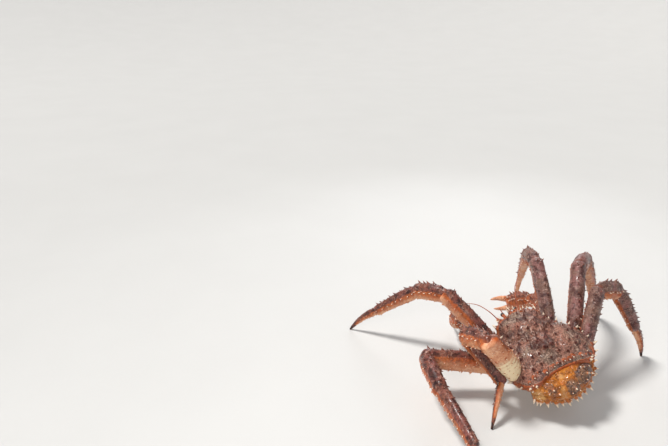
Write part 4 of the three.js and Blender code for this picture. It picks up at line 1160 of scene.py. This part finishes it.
def finger(name, root, forward, up, length, thickness, bow, seed):
    clay, own = Clay(), np.random.default_rng(seed)
    side, inner = np.cross(forward, up), -math.copysign(1, bow) * up

    def centre(s):
        bent = bow * length * 4 * np.clip(s, 0, 1) * (1 - np.clip(s, 0, 1))
        return root + forward * (length * s)[..., None] + up * bent[..., None]

    def radius(s):
        return np.interp(s, FINGER_STATIONS, FINGER_TAPER) * thickness

    root_rows = np.linspace(FINGER_STATIONS[0], 0, ROOT_ROWS, endpoint=False)
    t = np.concatenate([root_rows, np.linspace(0, 1, FINGER_ROWS)])
    outline = ring(up, 0.8 * side, round_turns(FINGER_SIDES))
    points = centre(t)[:, None] + outline * radius(t)[:, None, None]
    points += outline * (0.0016 * waves(points, 0.04, seed))[..., None]
    clay.tube(points, zone=0.1 + 0.5 * (1 - smooth(-0.05, 0.3, t))[:, None])
    for s in np.linspace(0.12, 0.86, TEETH):
        size = thickness * 0.34 * (1.25 - 0.8 * s) * own.uniform(0.8, 1.15)
        plant(clay, centre(s) + inner * radius(s) * 0.9, inner, size, 1.1 * size, 0.05)
    s, turn = own.uniform(0.02, 0.85, FINGER_WARTS), own.uniform(-1.9, 1.9, FINGER_WARTS)
    out = ring(-inner, side, turn)
    size = own.uniform(0.007, 0.014, FINGER_WARTS) * (1.2 - s)
    roots = centre(s) + out * (radius(s) * 0.9)[:, None]
    plant(clay, roots, out + 0.4 * forward, size, 0.6 * size, 0.4, sides=6)
    make_piece(name, clay, MATERIALS["claw_shell"])


def claw_zone(share):
    def zone(t, turn):
        return np.clip(0.55 + 0.45 * np.cos(turn) + share, 0.0, 1.0) * (1 - 0.3 * smooth(0.7, 1.0, t))

    return zone


def make_claw(side_name, size, bends, seed):
    name, sizes = "claw_" + side_name, (1.0, size, size, size, size)
    lengths = [length * grown for length, grown in zip(CLAW_LENGTHS, sizes)]
    joints = joints_of(SIDES[side_name], CLAW_BASE, lengths, bends)
    for i, (segment, look) in enumerate(CLAW_LOOKS.items()):
        slot, zone = ("claw", claw_zone(-0.1)) if segment == "hand" else ("leg", claw_zone(0.0))
        place = f"{name}_{segment}", *joints[i : i + 2]
        limb_segment(*place, look, MATERIALS["claw_shell"], slot, zone, seed + i, sizes[i])
    forward, wrist = unit(joints[4] - joints[3]), joints[4]
    up = unit(UP - forward * (UP @ forward))
    ahead, length = unit(forward + 0.12 * up), lengths[4]
    low, high = wrist - 0.052 * size * up, wrist + 0.05 * size * up
    finger(name + "_fixed_finger", low, forward, up, length, 0.046 * size, -0.05, seed + 4)
    finger(name + "_moving_finger", high, ahead, up, length, 0.05 * size, 0.06, seed + 5)


for side_name, claw in CLAWS.items():
    make_claw(side_name, **claw)
print("pieces so far:", len(PIECES))

# %% [markdown]
# ## The abdomen
# Behind the shell the abdomen bulges out, turns down and folds forward under the body. Its second
# plate carries three rounded bosses, one in the middle and one on each side. A line down the middle,
# a half width and a thickness describe all five plates, so neighbours always meet.

# %% The abdomen's line
# Forward, height, half width and thickness
ABDOMEN_LINE = np.array([
    [-0.004, 0.068, 0.32, 0.05], [-0.085, 0.035, 0.38, 0.09], [-0.165, -0.05, 0.41, 0.115],
    [-0.19, -0.15, 0.41, 0.12], [-0.15, -0.245, 0.39, 0.11], [-0.05, -0.32, 0.35, 0.07],
    [0.1, -0.36, 0.3, 0.04], [0.3, -0.37, 0.24, 0.038], [0.48, -0.365, 0.15, 0.036],
    [0.6, -0.36, 0.06, 0.034],
])
PLATES = {
    "second": (0, 0.27), "third": (0.27, 0.5), "fourth": (0.5, 0.68), "fifth": (0.68, 0.84),
    "tail": (0.84, 1),
}
BOSSES = [(0, 0.2, 0.2, 0.075), (0.55, 0.17, 0.22, 0.08), (-0.55, 0.17, 0.22, 0.08)]
abdomen_route = curve(ABDOMEN_LINE[:, :2])
route_slope = np.gradient(abdomen_route, axis=0)


def on_route(values, v):
    """The value, or each column's values, at share v of the way along the abdomen."""
    places = np.linspace(0, 1, len(values))
    if values.ndim == 1:
        return np.interp(v, places, values)
    return np.stack([np.interp(v, places, column) for column in values.T], axis=-1)


def abdomen_out(v):
    slope = unit(on_route(route_slope, v))
    return np.stack([0 * v, slope[..., 1], -slope[..., 0]], axis=-1)


def abdomen_point(u, v, depth=0.0):
    """A place at share u across, -1 to 1, and v along; depth 1 is the plate's full thickness."""
    thick = on_route(ABDOMEN_LINE[:, 3], v)
    curl = 0.16 * u * u * (1 - smooth(0.45, 0.7, v))
    bosses = sum(bump(u, v, *boss) for boss in BOSSES)
    raised = 0.045 * (1 - depth) * bosses * (1 - 0.5 * smooth(0.3, 0.36, v))
    tucked = 0.022 * (1 - smooth(0.0, 0.07, v)) * (1 - depth)
    lift = raised + tucked - thick * depth * (1 - 0.45 * u * u) - 0.25 * thick * u * u
    middle = np.insert(on_route(abdomen_route, v), 0, 0, axis=-1)
    to_margin = 0.036 * (1 - abs(u)) * (1 - smooth(0.0, 0.06, v))
    across = np.stack([on_route(ABDOMEN_LINE[:, 2], v) * u, curl + to_margin, 0.02 * u * u], axis=-1)
    return middle + abdomen_out(v) * lift[..., None] + across


print("points along the abdomen:", len(abdomen_route))

# %% [markdown]
# The plates are smaller plates grown together, so shallow seams part the middle ones from the ones
# at the sides, and the colour follows: purple grey stains on the bosses, yellow orange between them,
# cream patches, and cream along the edge. A rim of strong pale cones runs along the lower edge.

# %% Make the abdomen's plates
# Place, size and strength of each stain; place and size of each patch
BOSS_STAINS = [(0.5, 0.16, 0.33, 0.1, 0.62), (-0.02, 0.2, 0.19, 0.09, 0.5), (-0.6, 0.16, 0.18, 0.08, 0.2)]
PALE_PATCHES = [
    (-0.3, 0.24, 0.1, 0.12), (-0.85, 0.3, 0.12, 0.2), (0.25, 0.33, 0.14, 0.04), (-0.15, 0.05, 0.12, 0.03),
]
BOSS_SPINES = [
    (0, 0, 0.046), (-0.5, 0.5, 0.032), (0.55, 0.55, 0.034), (0.1, -0.7, 0.026), (-0.7, -0.3, 0.022),
    (0.8, -0.2, 0.024),
]
PLATE_COLUMNS, PLATE_WARTS = 84, 260


def abdomen_zone(u, v):
    stains = sum(depth * smooth(0.15, 0.8, bump(u, v, *spot)) for *spot, depth in BOSS_STAINS)
    patches = sum(bump(u, v, *spot) for spot in PALE_PATCHES)
    edge, flap = smooth(0.9, 1.0, abs(u)), smooth(0.5, 0.6, v)
    return np.clip(0.48 + stains - 0.34 * patches - 0.12 * edge - 0.28 * flap, 0.02, 1.0)


def plate_skin(clay, v0, v1, seed):
    v = np.linspace(v0 + 0.001, v1 - 0.001, int(30 + 60 * (v1 - v0)))[:, None]
    u, v = np.broadcast_arrays(np.linspace(-1, 1, PLATE_COLUMNS)[None], v)
    top = abdomen_point(u, v)
    seams = 0.012 * (bell(abs(u), 0.29, 0.02) + 0.7 * bell(abs(u), 0.82, 0.02))
    step = 0.014 * (1 - smooth(0, 0.012, v - v0)) * (v0 > 0) + 0.016 * (1 - smooth(0, 0.014, v1 - v))
    swell = 0.005 * waves(top, 0.07, seed) + 0.0025 * waves(top, 0.03, seed + 1)
    round_edge = 0.02 * smooth(0.93, 1.0, abs(u)) ** 2
    top = top + abdomen_out(v) * (swell - seams - step - round_edge)[..., None]
    under = abdomen_point(0.97 * u, v, 0.9)[:, ::-1]
    zones = np.concatenate([abdomen_zone(u, v), np.full(u.shape, 0.15)], axis=1)
    clay.tube(np.concatenate([top, under], axis=1), zone=zones)


def plate_spines(clay, v0, v1):
    def grow(u, v, size, sides=9):
        u, v = (np.ravel(a) for a in np.broadcast_arrays(u, v))
        keep = (v > v0 + 0.012) & (v < v1 - 0.012)
        u, v = u[keep], v[keep]
        if not len(u):
            return
        outs = abdomen_out(v) + np.stack([u * np.where(abs(u) > 0.8, 1.2, 0.5), 0 * u, 0 * u], axis=-1)
        sizes = np.broadcast_to(size, keep.shape)[keep] * rng.uniform(0.75, 1.2, len(u))
        zones = np.minimum(abdomen_zone(u, v), PALE_TIPPED)
        plant(clay, abdomen_point(u, v, 0.02), outs, sizes, 0.5 * sizes, zones, sides=sides)

    edge_v = np.arange(0.06, 0.97, 0.068)
    edge_size = np.where(edge_v < 0.5, 0.062, 0.028)
    for side in SIDES.values():
        grow(side * (0.93 + 0.03 * (-1) ** np.arange(len(edge_v))), edge_v, edge_size)
        grow(side * 0.86, edge_v + 0.03, 0.4 * edge_size)
    rim_u = np.linspace(-0.86, 0.86, 11)
    grow(rim_u + rng.uniform(-0.03, 0.03, 11), 0.395, 0.066)
    grow(rim_u + 0.08, 0.435, 0.036)
    grow(rim_u + 0.03, 0.35, 0.02)
    for across, forward, width, reach in BOSSES:
        for du, dv, size in BOSS_SPINES:
            grow(across + du * width, forward + dv * reach, size)
    grow(rng.uniform(-0.95, 0.95, PLATE_WARTS), rng.uniform(0.01, 0.99, PLATE_WARTS), 0.012, 6)


for number, (name, (v0, v1)) in enumerate(PLATES.items()):
    clay = Clay()
    plate_skin(clay, v0, v1, 50 + 3 * number)
    plate_spines(clay, v0, v1)
    make_piece("abdomen_" + name, clay, MATERIALS["abdomen_shell"])
print("pieces so far:", len(PIECES))

# %% [markdown]
# ## The face
# Under the beak sit two dark eyes on short spiny stalks, two long antennae on thick jointed bases,
# two fine antennules and the hairy outer mouth limbs. They are thin things, so each is a tube along
# a smooth curve, with its rings swollen where the real one has joints.

# %% Face tubes
FACE_TUBES = {
    "eyestalk": dict(
        points=[(0.075, 0.93, 0.02), (0.0828, 1.005, 0.029), (0.0888, 1.06, 0.036)],
        radii=[0.024, 0.019, 0.018, 0.023], swell=0.05, joints=3,
    ),
    "antenna": dict(
        points=[
            (0.13, 0.93, -0.03), (0.15, 1.03, -0.03), (0.16, 1.09, -0.015), (0.2, 1.2, 0.04),
            (0.28, 1.34, 0.09), (0.4, 1.45, 0.1),
        ],
        radii=[0.028, 0.027, 0.026, 0.024, 0.02, 0.008, 0.0065, 0.006, 0.0055, 0.005, 0.0045, 0.004, 0.002],
        rings=260, swell=0.07, joints=42,
    ),
    "antennule": dict(
        points=[
            (0.035, 0.95, -0.02), (0.04, 1.05, -0.035), (0.045, 1.12, -0.03), (0.055, 1.17, 0.01),
            (0.06, 1.2, 0.03),
        ],
        radii=[0.013, 0.011, 0.009, 0.005, 0.003], rings=120, swell=0.08, joints=16,
    ),
    "mouth_limb": dict(
        points=[
            (0.06, 0.84, -0.19), (0.07, 0.93, -0.19), (0.075, 1.0, -0.17), (0.06, 1.03, -0.21),
            (0.035, 1.02, -0.26), (0.025, 0.99, -0.29),
        ],
        radii=[0.03, 0.033, 0.029, 0.026, 0.02, 0.009], swell=0.09, joints=4,
    ),
}
TUBE_SIDES = 20


def face_tube(clay, side, points, radii, swell, joints, rings=70):
    route = curve(points * flip(side))
    t, places = np.linspace(0, 1, rings), np.linspace(0, 1, len(route))
    path = np.stack([np.interp(t, places, route[:, k]) for k in range(3)], axis=-1)
    forward = unit(np.gradient(path, axis=0))
    across = unit(np.cross(forward, [0, 0, 1.0]))
    over = np.cross(across, forward)
    thick = along(radii, t) * (1 + swell * np.cos(2 * math.pi * joints * t))
    rounds = ring(across[:, None], over[:, None], round_turns(TUBE_SIDES))
    clay.tube(path[:, None] + rounds * thick[:, None, None], zone=0.7)

    def bristles(i, k, size, width, lean, zone=0.7, droop=0.0, sides=6):
        """Spines at the tube's ring i and side k."""
        i, k = np.atleast_1d(i), np.atleast_1d(k)
        outs = rounds[i, k] + lean * forward[i] + [0, 0, droop]
        roots = path[i] + rounds[i, k] * thick[i, None] * 0.9
        plant(clay, roots, outs, size, width, zone, sides=sides)

    return bristles


print("face tubes:", ", ".join(FACE_TUBES))

# %% [markdown]
# The eye is a ball at the stalk's end. The stalk bears a few spines, the antenna's base bears
# slanting ones, and the mouth limb hangs with fine bristles, planted as spines of one thickness.

# %% Eyes, feelers and mouth limbs
EYE_RADIUS = 0.027
STALK_SPINES = [(50, 3, 0.018), (58, 6, 0.016), (62, 1, 0.014), (46, 8, 0.014)]
BASE_SPINES, BRISTLES, BRISTLE_WIDTH = 16, 240, 0.0022


def make_eye(side_name):
    ball = Clay()
    rise, turns = np.mgrid[0.02 : math.pi - 0.02 : 34j, 0 : 2 * math.pi : 49j][:, :, :-1]
    sphere = np.stack([np.sin(rise) * np.cos(turns), np.cos(rise), np.sin(rise) * np.sin(turns)], axis=-1)
    ball.tube(EYE_CENTRE * flip(SIDES[side_name]) + EYE_RADIUS * sphere * [0.96, 1.0, 0.96])
    make_piece("eye_" + side_name, ball, MATERIALS["eye_gloss"])


def make_face(side_name):
    own = np.random.default_rng(71)
    for name, look in FACE_TUBES.items():
        clay = Clay()
        bristles = face_tube(clay, SIDES[side_name], **look)
        if name == "eyestalk":
            for i, k, size in STALK_SPINES:
                bristles(i, k, size, 0.4 * size, 0.6)
        elif name == "antenna":
            for i in own.integers(10, 100, BASE_SPINES):
                k, size = own.integers(0, TUBE_SIDES), own.uniform(0.014, 0.03)
                bristles(i, k, size, 0.35 * size, 0.9)
        elif name == "mouth_limb":
            i, k = own.integers(14, 69, BRISTLES), own.integers(0, TUBE_SIDES, BRISTLES)
            bristles(i, k, own.uniform(0.02, 0.036, BRISTLES), BRISTLE_WIDTH, 0.9, 0.3, -0.5, 4)
        make_piece(f"{name}_{side_name}", clay, MATERIALS["feeler_shell"])


for side_name in SIDES:
    make_eye(side_name)
    make_face(side_name)
print("nodes without a skin of their own:", sorted(set(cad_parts) - set(PIECES)))

# %% [markdown]
# ## Floor and light
# The model stands on a plain pale floor whose far edge turns up like a shallow bowl, so that it has
# no horizon. A flat plane with a grey sky behind it would draw a line across the picture.

# %% Floor
FLOOR_REACH, FLOOR_BEND, FLAT_RINGS, FLOOR_SIDES = 5.0, 16.0, 16, 96


def floor_material():
    material, tree, shader = new_material("pale_floor")
    feed(tree, mix(tree, fuzz(tree, 3.0), (0.54, 0.535, 0.525), (0.58, 0.575, 0.565)), shader["Base Color"])
    feed(tree, ramp(tree, fuzz(tree, 140.0), -1.5, 1.6), shader["Roughness"])
    return material


def make_floor():
    bend = np.linspace(0, math.pi / 2, 20)
    flat, bowl = np.geomspace(0.05, FLOOR_REACH, FLAT_RINGS), FLOOR_REACH + FLOOR_BEND * np.sin(bend[1:])
    reach = np.concatenate([flat, bowl])[:, None]
    rise = np.concatenate([0 * flat, FLOOR_BEND * (1 - np.cos(bend[1:]))])[:, None]
    turns = round_turns(FLOOR_SIDES)
    points = np.stack([reach * np.cos(turns), reach * np.sin(turns), rise + 0 * turns], axis=-1)
    # The order of the corners is turned round, so that the faces look up
    faces = tube_walls(len(reach), FLOOR_SIDES)[:, [0, 3, 2, 1]].tolist()
    mesh = bpy.data.meshes.new("floor")
    mesh.from_pydata(points.reshape(-1, 3), [], [*faces, list(range(FLOOR_SIDES))])
    mesh.polygons.foreach_set("use_smooth", np.ones(len(mesh.polygons), bool))
    floor = bpy.data.objects.new("floor", mesh)
    bpy.context.collection.objects.link(floor)
    floor.data.materials.append(floor_material())


make_floor()
print("the floor reaches", FLOOR_REACH + FLOOR_BEND, "m")

# %% [markdown]
# A broad sun lights floor and crab evenly, where a near lamp would leave a bright pool on the floor.
# Two large lamps beside it put long highlights on the wet shell, and their light is kept narrow, so
# that it falls evenly on the floor. The pale sky does the rest.

# %% Lights
WARM, COOL = (1.0, 0.98, 0.95), (0.95, 0.97, 1.0)
SUBJECT = np.array([0.0, 0.02, 0.08])
SUN_FROM = (0.4, -0.25, 0.9)
SUN_POWER, SUN_ANGLE, LAMP_POWER, LAMP_SPREAD = 3.6, math.radians(12), 2.2, math.radians(100)
SKY, SKY_STRENGTH = (0.86, 0.9, 0.95, 1), 0.36


def light(name, kind, away, power, colour):
    """A light turned to shine along a direction, and its data."""
    data = bpy.data.lights.new(name, kind)
    data.energy, data.color = power, colour
    made = bpy.data.objects.new(name, data)
    bpy.context.collection.objects.link(made)
    flat = math.hypot(away[0], away[1])
    made.rotation_euler = (math.atan2(flat, away[2]), 0.0, math.atan2(away[0], -away[1]))
    return made, data


def lamp(name, place, size, colour):
    made, data = light(name, "AREA", np.array(place) - SUBJECT, LAMP_POWER, colour)
    data.shape, data.size, data.spread = "DISK", size, LAMP_SPREAD
    made.location = place
    made.visible_camera = False


light("sun", "SUN", SUN_FROM, SUN_POWER, WARM)[1].angle = SUN_ANGLE
lamp("side", (1.1, 0.9, 0.9), 0.7, WARM)
lamp("back", (-0.6, -1.3, 1.0), 0.8, COOL)
world = bpy.data.worlds.new("studio")
world.use_nodes = True
sky = world.node_tree.nodes["Background"].inputs
sky["Color"].default_value, sky["Strength"].default_value = SKY, SKY_STRENGTH
bpy.context.scene.world = world
bpy.context.scene.view_settings.view_transform = "Standard"
print("lights:", ", ".join(light.name for light in bpy.data.lights))

# %% [markdown]
# ## Last look
# The visual model keeps inside the imported box, and the last cell counts its faces and pieces.
# The visual model has to keep to the imported size.

# %% Counts
print("faces:", sum(len(piece.data.polygons) for piece in PIECES.values()), "pieces:", len(PIECES))
